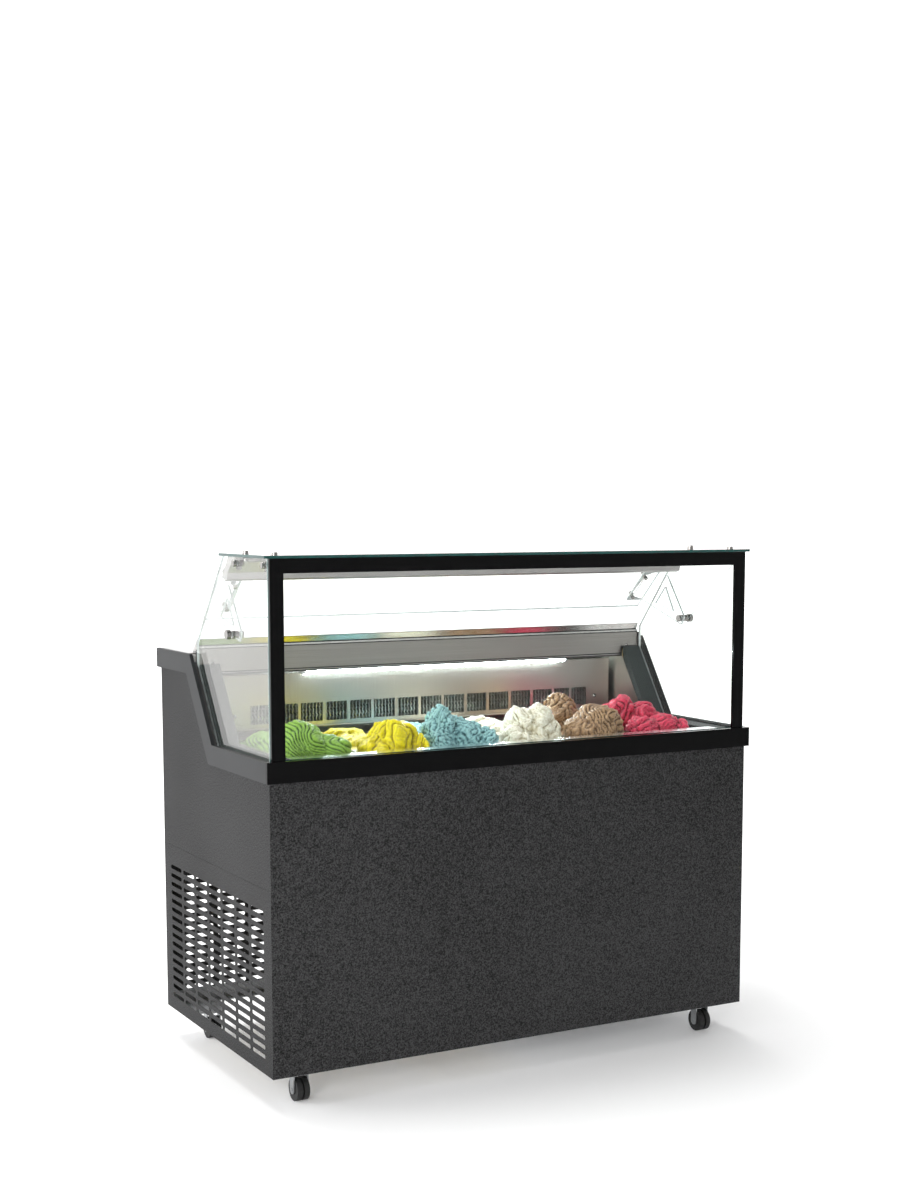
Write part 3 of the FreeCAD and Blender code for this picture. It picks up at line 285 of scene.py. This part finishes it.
def polished(name, tone, roughness):
    """Plated metal with faint wipe marks."""
    s = Shader(name)
    wipes = s.noise(30, detail=4, distortion=1.5)
    colour = s.ramp(wipes, [(0.35, shade(tone, 0.88)), (0.65, tone)])
    return s.principled(Base_Color=colour, Metallic=1.0,
                        Roughness=s.spread(wipes, roughness, roughness + 0.08))


def moulded(name, tone, roughness, scale=900, depth=0.00008):
    """Moulded plastic or rubber with a fine grain."""
    s = Shader(name)
    grain = s.noise(scale)
    drift = s.noise(12, detail=3)
    colour = s.ramp(drift, [(0.3, shade(tone, 0.75)), (0.72, tone)])
    return s.principled(Base_Color=colour, Roughness=s.spread(drift, roughness, roughness + 0.12),
                        Normal=s.bump(grain, depth))


def foam_insulation(name):
    """Yellowed foam with open cells."""
    s = Shader(name)
    cells = s.add("ShaderNodeTexVoronoi", Vector=s.place, Scale=380.0).outputs["Distance"]
    colour = s.ramp(s.noise(14, detail=4), [(0.3, (0.62, 0.47, 0.2)), (0.7, (0.8, 0.66, 0.36))])
    return s.principled(Base_Color=colour, Roughness=0.9, Normal=s.bump(cells, 0.0009))


def clear_pane(name, head_on, sharpness, tint):
    """Thin clear sheet: what is behind shows through, and each face mirrors more at a slant."""
    smear = 0.02
    s = Shader(name)
    streaks = s.noise(3.5, detail=3, distortion=0.6)
    mirror = s.add("ShaderNodeBsdfGlossy", Color=(0.88, 0.865, 0.86),
                   Roughness=s.spread(streaks, 0.0, smear))
    through = s.add("ShaderNodeBsdfTransparent", Color=tint)
    slant = s.add("ShaderNodeLayerWeight", Blend=0.5).outputs["Facing"]
    share = s.spread(s.maths("POWER", slant, sharpness), head_on, 1.0)
    mix = s.add("ShaderNodeMixShader")
    s.feed(mix.inputs[0], share)
    s.feed(mix.inputs[1], through.outputs[0])
    s.feed(mix.inputs[2], mirror.outputs[0])
    return s.finish(mix.outputs[0])


def glass_edge(name, tone, glow):
    """Ground edge of a sheet, with a painted glow that stands in for the light that runs inside the
    glass and comes out there.
    """
    s = Shader(name)
    waves = s.noise(45, detail=3)
    colour = s.ramp(waves, [(0.3, shade(tone, 0.6)), (0.7, tone)])
    # painted glow: the edge emits its own colour, though it is no lamp
    return s.principled(Base_Color=colour, Roughness=s.spread(waves, 0.12, 0.32),
                        Coat_Weight=0.2, Emission_Color=colour, Emission_Strength=glow)


def glowing(name, colour, strength):
    """Frosted plastic lit from inside."""
    s = Shader(name)
    frost = s.ramp(s.noise(240), [(0.3, shade(colour, 0.93)), (0.7, colour)])
    return s.principled(Base_Color=frost, Roughness=0.35, Emission_Color=frost,
                        Emission_Strength=strength)


def corroded_fins(name, tone):
    """Thin aluminium with the dull patches that frost and damp leave."""
    s = Shader(name)
    patches = s.noise(22, detail=5)
    colour = s.ramp(patches, [(0.34, shade(tone, 0.5)), (0.62, tone)])
    return s.principled(Base_Color=colour, Metallic=0.85,
                        Roughness=s.spread(patches, 0.32, 0.55),
                        Normal=s.bump(s.noise(700), 0.0001))


def gelato_finish(name, painted_crease_shade, tone, gloss):
    """Churned gelato with painted shade: darker in its creases, paler on its folds, by the
    surface's pointiness; wet over fine ice grain.
    """
    ice = 0.00035
    s = Shader(name)
    swirl = s.noise(26, detail=5, distortion=1.2)
    grain = s.noise(750, detail=3)
    air = s.noise(170, detail=4)
    # painted shade: the surface's pointiness darkens the colour in the creases towards the crease
    # tone and leaves the folds in the gelato's own tone
    fold = s.spread(s.add("ShaderNodeNewGeometry").outputs["Pointiness"], 0.0, 1.0, 0.42, 0.56)
    mixed = s.maths("ADD", s.maths("MULTIPLY", fold, 0.75), s.maths("MULTIPLY", swirl, 0.25))
    colour = s.ramp(mixed, [(0.08, shade(painted_crease_shade, 0.35)), (0.34, painted_crease_shade), (0.72, tone)])
    skin = s.bump(grain, ice, s.bump(air, ice * 2.5))
    return s.principled(Base_Color=colour, Roughness=s.spread(swirl, gloss, gloss + 0.2),
                        Subsurface_Weight=0.12, Subsurface_Radius=(0.004, 0.003, 0.002),
                        Subsurface_Scale=0.5, Specular_IOR_Level=0.35, Normal=skin)


def make_materials():
    """Every finish by name, apart from the gelato's."""
    clear_glass = (0.985, 0.995, 0.99)
    cold_white = (0.86, 0.98, 1.0)
    return {
        "body_paint": powder_coat("body_paint", (0.004, 0.004, 0.004), (0.053, 0.053, 0.054)),
        "rail_paint": satin_paint("rail_paint", (0.009, 0.010, 0.0115), 0.42, specular=0.25),
        "black_gloss": satin_paint("black_gloss", (0.0016, 0.0016, 0.0018), 0.1, specular=0.1),
        "foam": foam_insulation("foam"),
        "liner_steel": brushed("liner_steel", (0.40, 0.39, 0.36), "z"),
        "cover_steel": brushed("cover_steel", (0.44, 0.42, 0.385), "z", roughness=0.33),
        "fascia_steel": brushed("fascia_steel", (0.36, 0.345, 0.325), "x", roughness=0.34),
        "rim_steel": brushed("rim_steel", (0.46, 0.45, 0.44), "x", roughness=0.2, depth=0.00004),
        "rim_mirror": polished("rim_mirror", (0.62, 0.61, 0.59), 0.19),
        "shelf_steel": brushed("shelf_steel", (0.52, 0.51, 0.50), "x", roughness=0.32),
        "ledge_steel": brushed("ledge_steel", (0.86, 0.88, 0.90), "x", roughness=0.18),
        "pan_steel": brushed("pan_steel", (0.62, 0.60, 0.56), "x", roughness=0.22),
        "cheek": moulded("cheek", (0.016, 0.026, 0.025), 0.5),
        "gasket": moulded("gasket", (0.006, 0.006, 0.006), 0.55, 1400, 0.0001),
        "chrome": polished("chrome", (0.30, 0.29, 0.28), 0.12),
        "anodised": brushed("anodised", (0.40, 0.385, 0.38), "x", roughness=0.36),
        "coil_fins": corroded_fins("coil_fins", (0.42, 0.46, 0.44)),
        "fan_metal": satin_paint("fan_metal", (0.05, 0.05, 0.055), 0.35),
        "machine_black": satin_paint("machine_black", (0.012, 0.012, 0.013), 0.3),
        "copper": polished("copper", (0.78, 0.36, 0.2), 0.2),
        "control_plastic": moulded("control_plastic", (0.02, 0.02, 0.021), 0.38),
        "zinc": brushed("zinc", (0.40, 0.41, 0.42), "y", roughness=0.38),
        "tyre": moulded("tyre", (0.006, 0.006, 0.006), 0.6, 800, 0.00015),
        "glass_front": clear_pane("glass_front", 0.011, 4.6, clear_glass),
        "glass_side": clear_pane("glass_side", 0.04, 4.4, clear_glass),
        "acrylic": clear_pane("acrylic", 0.02, 5.0, (0.995, 0.995, 0.995)),
        # the last number of each edge finish is the strength of its painted glow
        "edge_teal": glass_edge("edge_teal", (0.0, 0.06, 0.052), 0.05),
        "edge_pale": glass_edge("edge_pale", (0.62, 0.68, 0.68), 0.1),
        "led": glowing("led", cold_white, 80.0),
        "diffuser": glowing("diffuser", cold_white, 40.0),
    }


CAD_FINISHES = {
    "body_paint": ("front_panel", "side_panels", "side_grilles", "rear_panel", "rear_grille"),
    "rail_paint": ("side_rails",),
    "black_gloss": ("front_rail", "front_glass_frame"),
    "foam": ("tank_foam",),
    "liner_steel": ("tank_liner",),
    "cover_steel": ("evaporator_cover",),
    "fascia_steel": ("rear_fascia",),
    "shelf_steel": ("rear_shelf",),
    "ledge_steel": ("front_ledge",),
    "pan_steel": ("pan_1", "pan_2", "pan_3", "pan_4", "pan_5", "pan_6", "pan_rails"),
    "cheek": ("side_cheeks",),
    "gasket": ("glass_gaskets",),
    "chrome": ("glass_fasteners", "flap_screws", "glass_brackets"),
    "anodised": ("top_profile",),
    "fan_metal": ("condenser_fan", "evaporator_fan"),
    "machine_black": ("compressor", "fan_motors"),
    "copper": ("refrigerant_pipes",),
    "control_plastic": ("control_panel", "power_switch", "power_inlet"),
    "zinc": ("base_frame", "caster_plates", "caster_fork_front_left", "caster_fork_front_right",
             "caster_fork_rear_left", "caster_fork_rear_right"),
    "tyre": ("caster_wheels_front_left", "caster_wheels_front_right", "caster_wheels_rear_left",
             "caster_wheels_rear_right"),
}


def dress_cad(materials):
    """Give every CAD node that stays in sight its finish."""
    for finish, names in CAD_FINISHES.items():
        for name in names:
            slots = NODES[name].material_slots
            for slot in slots:
                slot.link = "DATA"
                slot.material = materials[finish]
            if not slots:
                NODES[name].data.materials.append(materials[finish])


# ---------------------------------------------------------------- glass and acrylic sheets
EDGE_WIDTH = 0.008      # a face wider than this is one of the sheet's clear faces


def sheet_pieces(node, body, faces, edges, arris=0.0006):
    """Own mesh of a flat sheet node: its wide faces clear, its ground edges bevelled and tinted."""
    weld, flat, sharp = 1e-5, math.radians(1), 0.9
    bm = bmesh.new()
    bm.from_mesh(NODES[node].data)
    bmesh.ops.remove_doubles(bm, verts=bm.verts, dist=weld)
    bmesh.ops.dissolve_limit(bm, angle_limit=flat, verts=bm.verts, edges=bm.edges)
    corners = [e for e in bm.edges if len(e.link_faces) == 2 and e.calc_face_angle() > sharp]
    bmesh.ops.bevel(bm, geom=corners, offset=arris, segments=1, affect="EDGES", profile=0.5)
    bm.normal_update()
    for face in bm.faces:
        width = 2 * face.calc_area() / face.calc_perimeter()
        face.material_index = 0 if width > EDGE_WIDTH else 1
    piece = link(node + "_clear", mesh_from(bm, node + "_clear"))
    piece.data.materials.append(faces)
    piece.data.materials.append(edges)
    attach(piece, body)
    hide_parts(node)


def make_sheets(m):
    """Glass of the box and acrylic of the flap, with its two bent brackets."""
    sheet_pieces("front_glass", "root", m["glass_front"], m["edge_teal"])
    sheet_pieces("side_glasses", "root", m["glass_side"], m["edge_pale"])
    sheet_pieces("top_glass", "root", m["glass_front"], m["edge_teal"])
    sheet_pieces("flap_sheet", "flap", m["acrylic"], m["edge_pale"])
    sheet_pieces("flap_brackets", "flap", m["acrylic"], m["edge_pale"], 0.0003)


# ---------------------------------------------------------------- small mesh parts
def bar(bm, start, end, radius, sides=12):
    """Straight round bar between two points."""
    start, end = Vector(start), Vector(end)
    across = (end - start).orthogonal().normalized()
    other = (end - start).normalized().cross(across)
    loops = [[bm.verts.new(point + radius * (math.cos(a) * across + math.sin(a) * other))
              for a in around(sides)] for point in (start, end)]
    join_loops(bm, loops)
    bm.faces.new(loops[0][::-1])
    bm.faces.new(loops[1])


def block(bm, low, high):
    """Box between two opposite corners."""
    low, high = Vector(low), Vector(high)
    middle, size = (low + high) / 2, high - low
    for vert in bmesh.ops.create_cube(bm, size=1.0)["verts"]:
        vert.co = Vector((vert.co[i] * size[i] + middle[i] for i in range(3)))


def wavy_fins(name, low, high, pitch, along, wave, bars, finish, node):
    """Stack of thin corrugated fins that fills a box, with straight bars through it.

    along: the axis that the fins follow each other on, then the axis of their depth.
    """
    axis, depth = ("xyz".index(letter) for letter in along)
    half_gauge, steps, swing, offset = 0.0009, 16, 0.75 * math.pi, 0.4
    bm = bmesh.new()
    count = int((high[axis] - low[axis]) / pitch)
    for number in range(count + 1):
        centre = low[axis] + number * (high[axis] - low[axis]) / count
        loops = []
        for step in range(steps + 1):
            sway = wave * math.sin(swing * step + offset * number)
            loop = []
            for side, end in ((-1, low), (-1, high), (1, high), (1, low)):
                spot = Vector((0, 0, low.z + (high.z - low.z) * step / steps))
                spot[axis] = centre + sway + side * half_gauge
                spot[depth] = end[depth]
                loop.append(bm.verts.new(spot))
            loops.append(loop)
        join_loops(bm, loops)
        bm.faces.new(loops[0][::-1])
        bm.faces.new(loops[-1])
    for start, end, radius in bars:
        bar(bm, start, end, radius)
    bmesh.ops.recalc_face_normals(bm, faces=bm.faces)
    piece = link(name, mesh_from(bm, name))
    piece.data.materials.append(finish)
    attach(piece, "root")
    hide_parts(node)


def make_coils(m):
    """Fins of the evaporator and of the condenser, each with its rows of tubes."""
    low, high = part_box("evaporator_coil")
    bend = Vector((0.012, 0, 0))
    bars = []
    for row in (0.25, 0.75):
        for level in (0.3, 0.72):
            y, z = low.y + row * (high.y - low.y), low.z + level * (high.z - low.z)
            bars.append(((low.x, y, z), (high.x, y, z), 0.0048))
    wavy_fins("evaporator_fins", low + bend, high - bend, 0.0085, "xy", 0.0011, bars,
              m["coil_fins"], "evaporator_coil")
    low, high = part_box("condenser")
    levels = 8
    bars = []
    for row in (0.3, 0.7):
        for level in range(levels):
            x, z = low.x + row * (high.x - low.x), low.z + (level + 0.5) / levels * (high.z - low.z)
            bars.append(((x, low.y, z), (x, high.y, z), 0.0045))
    wavy_fins("condenser_fins", low, high, 0.006, "yx", 0.0006, bars,
              m["coil_fins"], "condenser")


def make_led(m):
    """Light bar: an anodised channel, a frosted cover and a row of bright lenses along it."""
    low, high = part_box("led_bar")
    web, flange, front_gap = 0.0035, 0.0015, 0.004
    radius, pitch, left_cap, right_cap = 0.0066, 0.0167, 0.021, 0.006
    bm = bmesh.new()
    block(bm, (low.x, low.y + front_gap, high.z - web), high)
    block(bm, (low.x, high.y - flange, low.z), (high.x, high.y, high.z - web))
    bmesh.ops.bevel(bm, geom=bm.edges[:], offset=0.0004, segments=1, affect="EDGES")
    channel = link("led_channel", mesh_from(bm, "led_channel"))
    channel.data.materials.append(m["anodised"])
    y, z = low.y + radius, low.z + radius * 0.95
    start, end = low.x + left_cap, high.x - right_cap
    bm = bmesh.new()
    bar(bm, (start, y, z), (end, y, z), radius * 0.86, 20)
    cover = link("led_diffuser", mesh_from(bm, "led_diffuser", smooth=True))
    cover.data.materials.append(m["diffuser"])
    bm = bmesh.new()
    count = int((end - start) / pitch)
    for number in range(count + 1):
        x = (start + end) / 2 + (number - count / 2) * pitch
        spot = Matrix.Translation((x, y, z)) @ Matrix.Diagonal((1.2, 1, 1, 1))
        bmesh.ops.create_icosphere(bm, subdivisions=2, radius=radius * 1.15, matrix=spot)
    lenses = link("led_lenses", mesh_from(bm, "led_lenses", smooth=True))
    lenses.data.materials.append(m["led"])
    for piece in (channel, cover, lenses):
        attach(piece, "root")
    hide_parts("led_bar")


def extrusion(name, profile, ends, finishes, kinds):
    """Bar along X with a closed outline of (y, z) points; kinds give each side's finish."""
    bm = bmesh.new()
    loops = [[bm.verts.new((x, y, z)) for y, z in profile] for x in ends]
    for index, kind in enumerate(kinds):
        after = (index + 1) % len(profile)
        face = bm.faces.new((loops[0][index], loops[0][after], loops[1][after], loops[1][index]))
        face.material_index = kind
    bm.faces.new(loops[0][::-1])
    bm.faces.new(loops[1])
    bmesh.ops.recalc_face_normals(bm, faces=bm.faces)
    piece = link(name, mesh_from(bm, name))
    for finish in finishes:
        piece.data.materials.append(finish)
    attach(piece, "root")
    return piece


def make_rim(m):
    """Polished rim whose front band leans out, so that it mirrors the pans below it."""
    low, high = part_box("rear_rim")
    front, back, top = low.y, high.y, high.z
    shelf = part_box("rear_shelf")[1].z
    # From the foot of the band back to the shelf, over the rounded top, then down the front,
    # which has a dark groove under the band.
    profile = [(front + 0.0022, low.z), (back, low.z), (back, shelf), (front + 0.012, top - 0.0004),
               (front + 0.008, top), (front + 0.0006, top - 0.0002), (front, top - 0.0014),
               (front + 0.0052, top - 0.0145), (front + 0.0075, top - 0.0148),
               (front + 0.0075, top - 0.0164), (front + 0.0028, top - 0.0168),
               (front + 0.0024, top - 0.0208)]
    steel, mirror, dark = 0, 1, 2
    kinds = [steel, steel, steel, mirror, mirror, steel, mirror, dark, dark, dark, mirror, dark]
    rim = extrusion("rim_band", profile, (low.x, high.x),
                    (m["rim_steel"], m["rim_mirror"], m["gasket"]), kinds)
    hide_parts("rear_rim")


def make_breaker_strip(m):
    """Black plastic strip with a pale bead that closes the gap between fascia and liner."""
    liner_low, liner_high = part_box("tank_liner")
    fascia_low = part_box("rear_fascia")[0]
    face, top = fascia_low.y, fascia_low.z
    low, end_gap = liner_high.z - 0.0025, 0.001
    profile = [(face - 0.0012, low), (face + 0.012, low), (face + 0.012, top + 0.0008),
               (face - 0.0004, top + 0.0008), (face - 0.0004, top - 0.0012),
               (face - 0.0016, top - 0.0015), (face - 0.0016, top - 0.0036),
               (face - 0.0008, top - 0.0038), (face - 0.0008, low + 0.0018)]
    plastic, bead = 0, 1
    kinds = [bead if index == 5 else plastic for index in range(len(profile))]
    ends = (liner_low.x + end_gap, liner_high.x - end_gap)
    strip = extrusion("breaker_strip", profile, ends, (m["gasket"], m["anodised"]), kinds)


def screw(bm, place, towards, radius, sides=18):
    """Domed head with a washer and a round recess, turned to face a direction."""
    turn = Vector((0, 0, 1)).rotation_difference(Vector(towards)).to_matrix().to_4x4()
    # Distance from the axis and height, as shares of the head's radius.
    outline = [(1.35, 0.0), (1.35, 0.18), (1.0, 0.22), (0.94, 0.5), (0.62, 0.74), (0.3, 0.78),
               (0.22, 0.5)]
    loops = [[bm.verts.new(Vector(place) + turn @ Vector(
        (radius * across * math.cos(a), radius * across * math.sin(a), radius * height)))
        for a in around(sides)] for across, height in outline]
    join_loops(bm, loops)
    bm.faces.new(loops[-1])
    bm.faces.new(loops[0][::-1])


def make_screws(m):
    """Screws of the evaporator cover, the fascia, the rear panel and the rear grille."""
    forwards, backwards = (0, -1, 0), (0, 1, 0)
    cover_x, cover_level, cover_radius = 0.488, 0.768, 0.0032
    fascia_x, fascia_level, fascia_radius = 0.555, 0.8975, 0.0028
    panel_radius = 0.004
    cover_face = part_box("evaporator_coil")[0].y - 0.0042    # the cover stands before the coil
    fascia_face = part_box("rear_fascia")[0].y
    bm = bmesh.new()
    for side in (-1, 1):
        screw(bm, (side * cover_x, cover_face, cover_level), forwards, cover_radius)
        screw(bm, (side * fascia_x, fascia_face, fascia_level), forwards, fascia_radius)
    low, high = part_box("rear_panel")
    for level in (low.z + 0.03, high.z - 0.035):
        for x in (-0.57, -0.19, 0.19, 0.57):
            screw(bm, (x, high.y, level), backwards, panel_radius)
    low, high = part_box("rear_grille")
    for level in (low.z + 0.02, high.z - 0.02):
        for x in (-0.585, 0.585):
            screw(bm, (x, high.y, level), backwards, panel_radius)
    heads = link("panel_screws", mesh_from(bm, "panel_screws", smooth=True))
    heads.data.materials.append(m["chrome"])
    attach(heads, "root")


# ---------------------------------------------------------------- gelato
# One flavour a pan, in millimetres.
#   tones    painted shade colour in the creases, and the gelato's colour on the folds
#   gloss    roughness of the skin where it is wettest
#   heaps    across, along and up from the middle of the pan's rim, then the radii in that order
#   turns    each heap's direction of folding, in degrees
#   fold     width of the spatula's folds, their depth, how many times longer than wide they
#            run, and how far they wander
#   wrinkle  width, depth and run of the finer creases on top of the folds
#   ridge    share of regular ribs in the folds, 0 to 1
#   slump    how far the heaps sag out of shape
#   lumps    height of the rough flakes
FLAVOURS = [
    dict(name="pistachio", slot="gelato_pistachio",
         tones=((0.055, 0.15, 0.012), (0.26, 0.47, 0.06)), gloss=0.42,
         heaps=[(-20, -88, 0, 58, 82, 66), (36, -112, -4, 46, 62, 46), (4, 36, -10, 66, 90, 27),
                (-10, 112, -10, 60, 52, 30)],
         turns=(20, 35, 10, 60), fold=(12, 7.5, 6.0, 22), wrinkle=(4.5, 1.2, 5.0), ridge=0.65,
         slump=9, lumps=0.5),
    dict(name="lemon", slot="gelato_lemon",
         tones=((0.38, 0.30, 0.0), (0.86, 0.74, 0.006)), gloss=0.36,
         heaps=[(8, -104, 0, 44, 56, 64), (40, -92, -2, 38, 54, 61), (70, -128, -6, 18, 34, 34),
                (-34, -112, -8, 34, 50, 40), (0, 40, -12, 64, 90, 28), (0, 112, -10, 60, 50, 30)],
         turns=(70, 20, 100, 40, 10, 60), fold=(29, 12.0, 3.0, 28), wrinkle=(9, 2.0, 4.0),
         ridge=0.2, slump=13, lumps=0.7),
    dict(name="mint_cream", slot="gelato_turquoise_cream",
         tones=((0.07, 0.19, 0.21), (0.34, 0.60, 0.62)), gloss=0.46,
         heaps=[(-24, -70, 0, 42, 54, 82), (22, -92, 0, 46, 58, 58), (56, -118, -6, 30, 48, 40),
                (-46, -104, -8, 32, 52, 42), (0, 44, -8, 62, 80, 28), (0, 114, -10, 60, 50, 32)],
         turns=(50, 120, 20, 80, 140, 30), fold=(14, 8.5, 1.7, 20), wrinkle=(5.5, 3.0, 1.8),
         ridge=0.0, slump=12, lumps=3.2),
    dict(name="vanilla", slot="gelato_vanilla",
         tones=((0.56, 0.50, 0.34), (0.90, 0.88, 0.76)), gloss=0.32,
         heaps=[(42, -96, 0, 46, 56, 76), (-2, -86, 0, 40, 52, 74), (-40, -108, -8, 28, 46, 44),
                (0, -150, -10, 50, 22, 26), (0, 44, -8, 62, 80, 28), (0, 112, -8, 60, 50, 36)],
         turns=(60, 20, 110, 0, 45, 90), fold=(26, 9.0, 3.4, 30), wrinkle=(8, 1.9, 4.0),
         ridge=0.15, slump=11, lumps=1.5),
    dict(name="hazelnut", slot="gelato_chocolate",
         tones=((0.12, 0.06, 0.025), (0.44, 0.28, 0.15)), gloss=0.26,
         heaps=[(16, -104, 0, 52, 62, 70), (-30, -112, -6, 38, 50, 46), (54, -104, -6, 32, 54, 46),
                (14, 58, 0, 48, 60, 80), (44, 80, -4, 36, 52, 52), (0, 126, -8, 58, 42, 40)],
         turns=(35, 80, 15, 60, 110, 20), fold=(12, 7.0, 4.2, 26), wrinkle=(4.6, 2.0, 4.0),
         ridge=0.35, slump=12, lumps=1.0),
    dict(name="berry", slot="gelato_berry",
         tones=((0.26, 0.006, 0.03), (0.74, 0.055, 0.12)), gloss=0.28,
         heaps=[(-40, -24, 0, 42, 50, 74), (4, -50, 0, 42, 54, 58), (24, -108, -4, 40, 48, 44),
                (56, -130, -8, 20, 34, 28), (-36, -120, -6, 40, 44, 40), (0, 62, -4, 58, 66, 50),
                (0, 126, -8, 58, 42, 38)],
         turns=(30, 75, 120, 20, 60, 100, 0), fold=(19, 8.5, 3.4, 26), wrinkle=(6, 2.0, 3.6),
         ridge=0.15, slump=11, lumps=1.3),
]
MILLIMETRE = 0.001
CREASE = 0.6        # power that makes the valleys between folds narrow and the folds round
NOISE_SEED = 7      # without a seed, noise_vector takes its offsets from the clock


def heap_mesh(name, flavour, low, high, rim, voxel):
    """The top of the filled pan and its heaps run together into one skin."""
    depth, fill, spill = 0.03, 0.005, 0.004
    bm = bmesh.new()
    block(bm, (low.x, low.y, rim - depth), (high.x, high.y, rim - fill))
    middle = (low + high) / 2
    for across, along, up, wide, deep, tall in flavour["heaps"]:
        centre = Vector((middle.x, middle.y, rim)) + MILLIMETRE * Vector((across, along, up))
        shape = Matrix.Diagonal((wide * MILLIMETRE, deep * MILLIMETRE, tall * MILLIMETRE, 1))
        bmesh.ops.create_icosphere(bm, subdivisions=4, radius=1.0,
                                   matrix=Matrix.Translation(centre) @ shape)
    for vert in bm.verts:
        x, y, z = vert.co
        vert.co = (min(max(x, low.x - spill), high.x + spill),
                   min(max(y, low.y), high.y), max(z, rim - depth))
    raw = link(name + "_raw", mesh_from(bm, name + "_raw"))
    remesh = raw.modifiers.new("skin", "REMESH")
    remesh.mode = "VOXEL"
    remesh.voxel_size = voxel
    smooth = raw.modifiers.new("melt", "SMOOTH")
    smooth.factor = 0.5
    smooth.iterations = 4
    whole = raw.evaluated_get(bpy.context.evaluated_depsgraph_get())
    mesh = bpy.data.meshes.new_from_object(whole)
    bpy.data.objects.remove(raw)
    return mesh


def read_points(mesh):
    """The mesh's points as rows of an array."""
    points = np.empty(len(mesh.vertices) * 3)
    mesh.vertices.foreach_get("co", points)
    return points.reshape(-1, 3)


def write_points(mesh, points):
    """Put changed points back in the mesh."""
    mesh.vertices.foreach_set("co", points.ravel())
    mesh.update()


def above_rim(height, rim):
    """0 at the pan's wall, 1 just above its rim."""
    start, band = rim - 0.008, 0.016
    return min(1.0, max(0.0, (height - start) / band))


def slump(mesh, amount, rim, away):
    """Drag the heaps out of their round shapes, more sideways than down."""
    coarse, fine, fine_share, squash = 17, 38, 0.5, np.array((1.0, 1.0, 0.8))
    points = read_points(mesh)
    for point in points:
        share = above_rim(point[2], rim)
        if share:
            spot = Vector(point)
            drag = noise.noise_vector(spot * coarse + away)
            drag += fine_share * noise.noise_vector(spot * fine - away)
            point += np.array(drag) * squash * amount * MILLIMETRE * share
    write_points(mesh, points)


def creased(spot):
    """Rounded swells with sharp valleys, from about 0 to 1."""
    return min(1.0, 2.0 * abs(noise.noise(spot))) ** CREASE


def fold_skin(mesh, flavour, centre, away):
    """Lay folds over each heap along its own direction, then finer wrinkles and lumps."""
    width, depth, run, wander = flavour["fold"]
    fine_width, fine_depth, fine_run = flavour["wrinkle"]
    slope, lean, tall_share = 1.6, 0.6, 1.5     # height of a fold, of a rib and of a heap's reach
    wave_scale, ripple_scale, ripple = 14, 45, 0.22
    veer, veer_scale = 1.1, 10
    fold_level, wrinkle_level, flake_scale = 0.7, 0.5, 120
    coarse = Vector((1 / width, 1 / (width * run), 1 / (width * slope))) / MILLIMETRE
    fine = Vector((1 / fine_width, 1 / (fine_width * fine_run), 1 / (fine_width * slope)))
    fine /= MILLIMETRE
    points = read_points(mesh)
    normals = np.empty(points.size)
    mesh.vertex_normals.foreach_get("vector", normals)
    normals = normals.reshape(-1, 3)
    heaps = np.array(flavour["heaps"], float) * MILLIMETRE
    middles = np.array(centre) + heaps[:, :3]
    radii = heaps[:, 3:] * np.array((1.0, 1.0, tall_share))
    nearest = np.argmin([np.linalg.norm((points - middle) / radius, axis=1)
                         for middle, radius in zip(middles, radii)], axis=0)
    turns = [math.radians(turn) for turn in flavour["turns"]]
    for point, normal, heap in zip(points, normals, nearest):
        share = above_rim(point[2], centre[2])
        if not share:
            continue
        spot = Vector(point)
        bend = noise.noise_vector(spot * wave_scale + away) * wander * MILLIMETRE
        bend += noise.noise_vector(spot * ripple_scale + away) * width * ripple * MILLIMETRE
        turn = turns[heap] + veer * noise.noise(spot * veer_scale - away)
        flow = Matrix.Rotation(turn, 3, "Z") @ (spot - Vector(middles[heap]) + bend)
        fold = creased(flow * coarse + away)
        rib = abs(math.sin(math.pi * coarse.x * (flow.x + lean * flow.z))) ** CREASE
        push = depth * (fold + (rib - fold) * flavour["ridge"] - fold_level)
        push += fine_depth * (creased(flow * fine - away) - wrinkle_level)
        push += flavour["lumps"] * noise.fractal(spot * flake_scale + away, 0.6, 2.1, 4)
        point += normal * push * MILLIMETRE * share
    write_points(mesh, points)


def keep_inside(mesh, low, high, rim):
    """Hold the skin off the pan's walls, the glass and the neighbouring pans."""
    edge, overhang, front_share = 0.004, 0.0085, 0.5
    points = read_points(mesh)
    over = np.clip((points[:, 2] - rim) / edge, 0, 1) * overhang
    points[:, 0] = np.clip(points[:, 0], low.x - over, high.x + over)
    points[:, 1] = np.clip(points[:, 1], low.y - over * front_share, high.y)
    write_points(mesh, points)


def make_gelato():
    """One skin a pan, in place of the plain solid, moving with the pan."""
    noise.seed_set(NOISE_SEED)
    voxel = 0.002
    clearance = Vector((0.0004, 0.0004, 0))
    for number, flavour in enumerate(FLAVOURS, 1):
        node, pan = f"gelato_{number}", f"pan_{number}"
        low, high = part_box(node)
        low, high = low + clearance, high - clearance
        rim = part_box(pan)[1].z
        away = Vector((11.3, 7.1, 3.7)) * number
        name = f"gelato_{flavour['name']}"
        mesh = heap_mesh(name, flavour, low, high, rim, voxel)
        slump(mesh, flavour["slump"], rim, away)
        fold_skin(mesh, flavour, ((low.x + high.x) / 2, (low.y + high.y) / 2, rim), away)
        keep_inside(mesh, low, high, rim)
        mesh.polygons.foreach_set("use_smooth", [True] * len(mesh.polygons))
        piece = link(name, mesh)
        piece.data.materials.clear()
        piece.data.materials.append(gelato_finish(name, *flavour["tones"], flavour["gloss"]))
        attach(piece, pan)
        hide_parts(node)


# ---------------------------------------------------------------- the whole scene
make_camera()
set_colour_management()
finishes = make_materials()
make_studio(studio_finish())
light_studio()
dress_cad(finishes)
make_sheets(finishes)
make_coils(finishes)
make_led(finishes)
make_rim(finishes)
make_breaker_strip(finishes)
make_screws(finishes)
make_gelato()
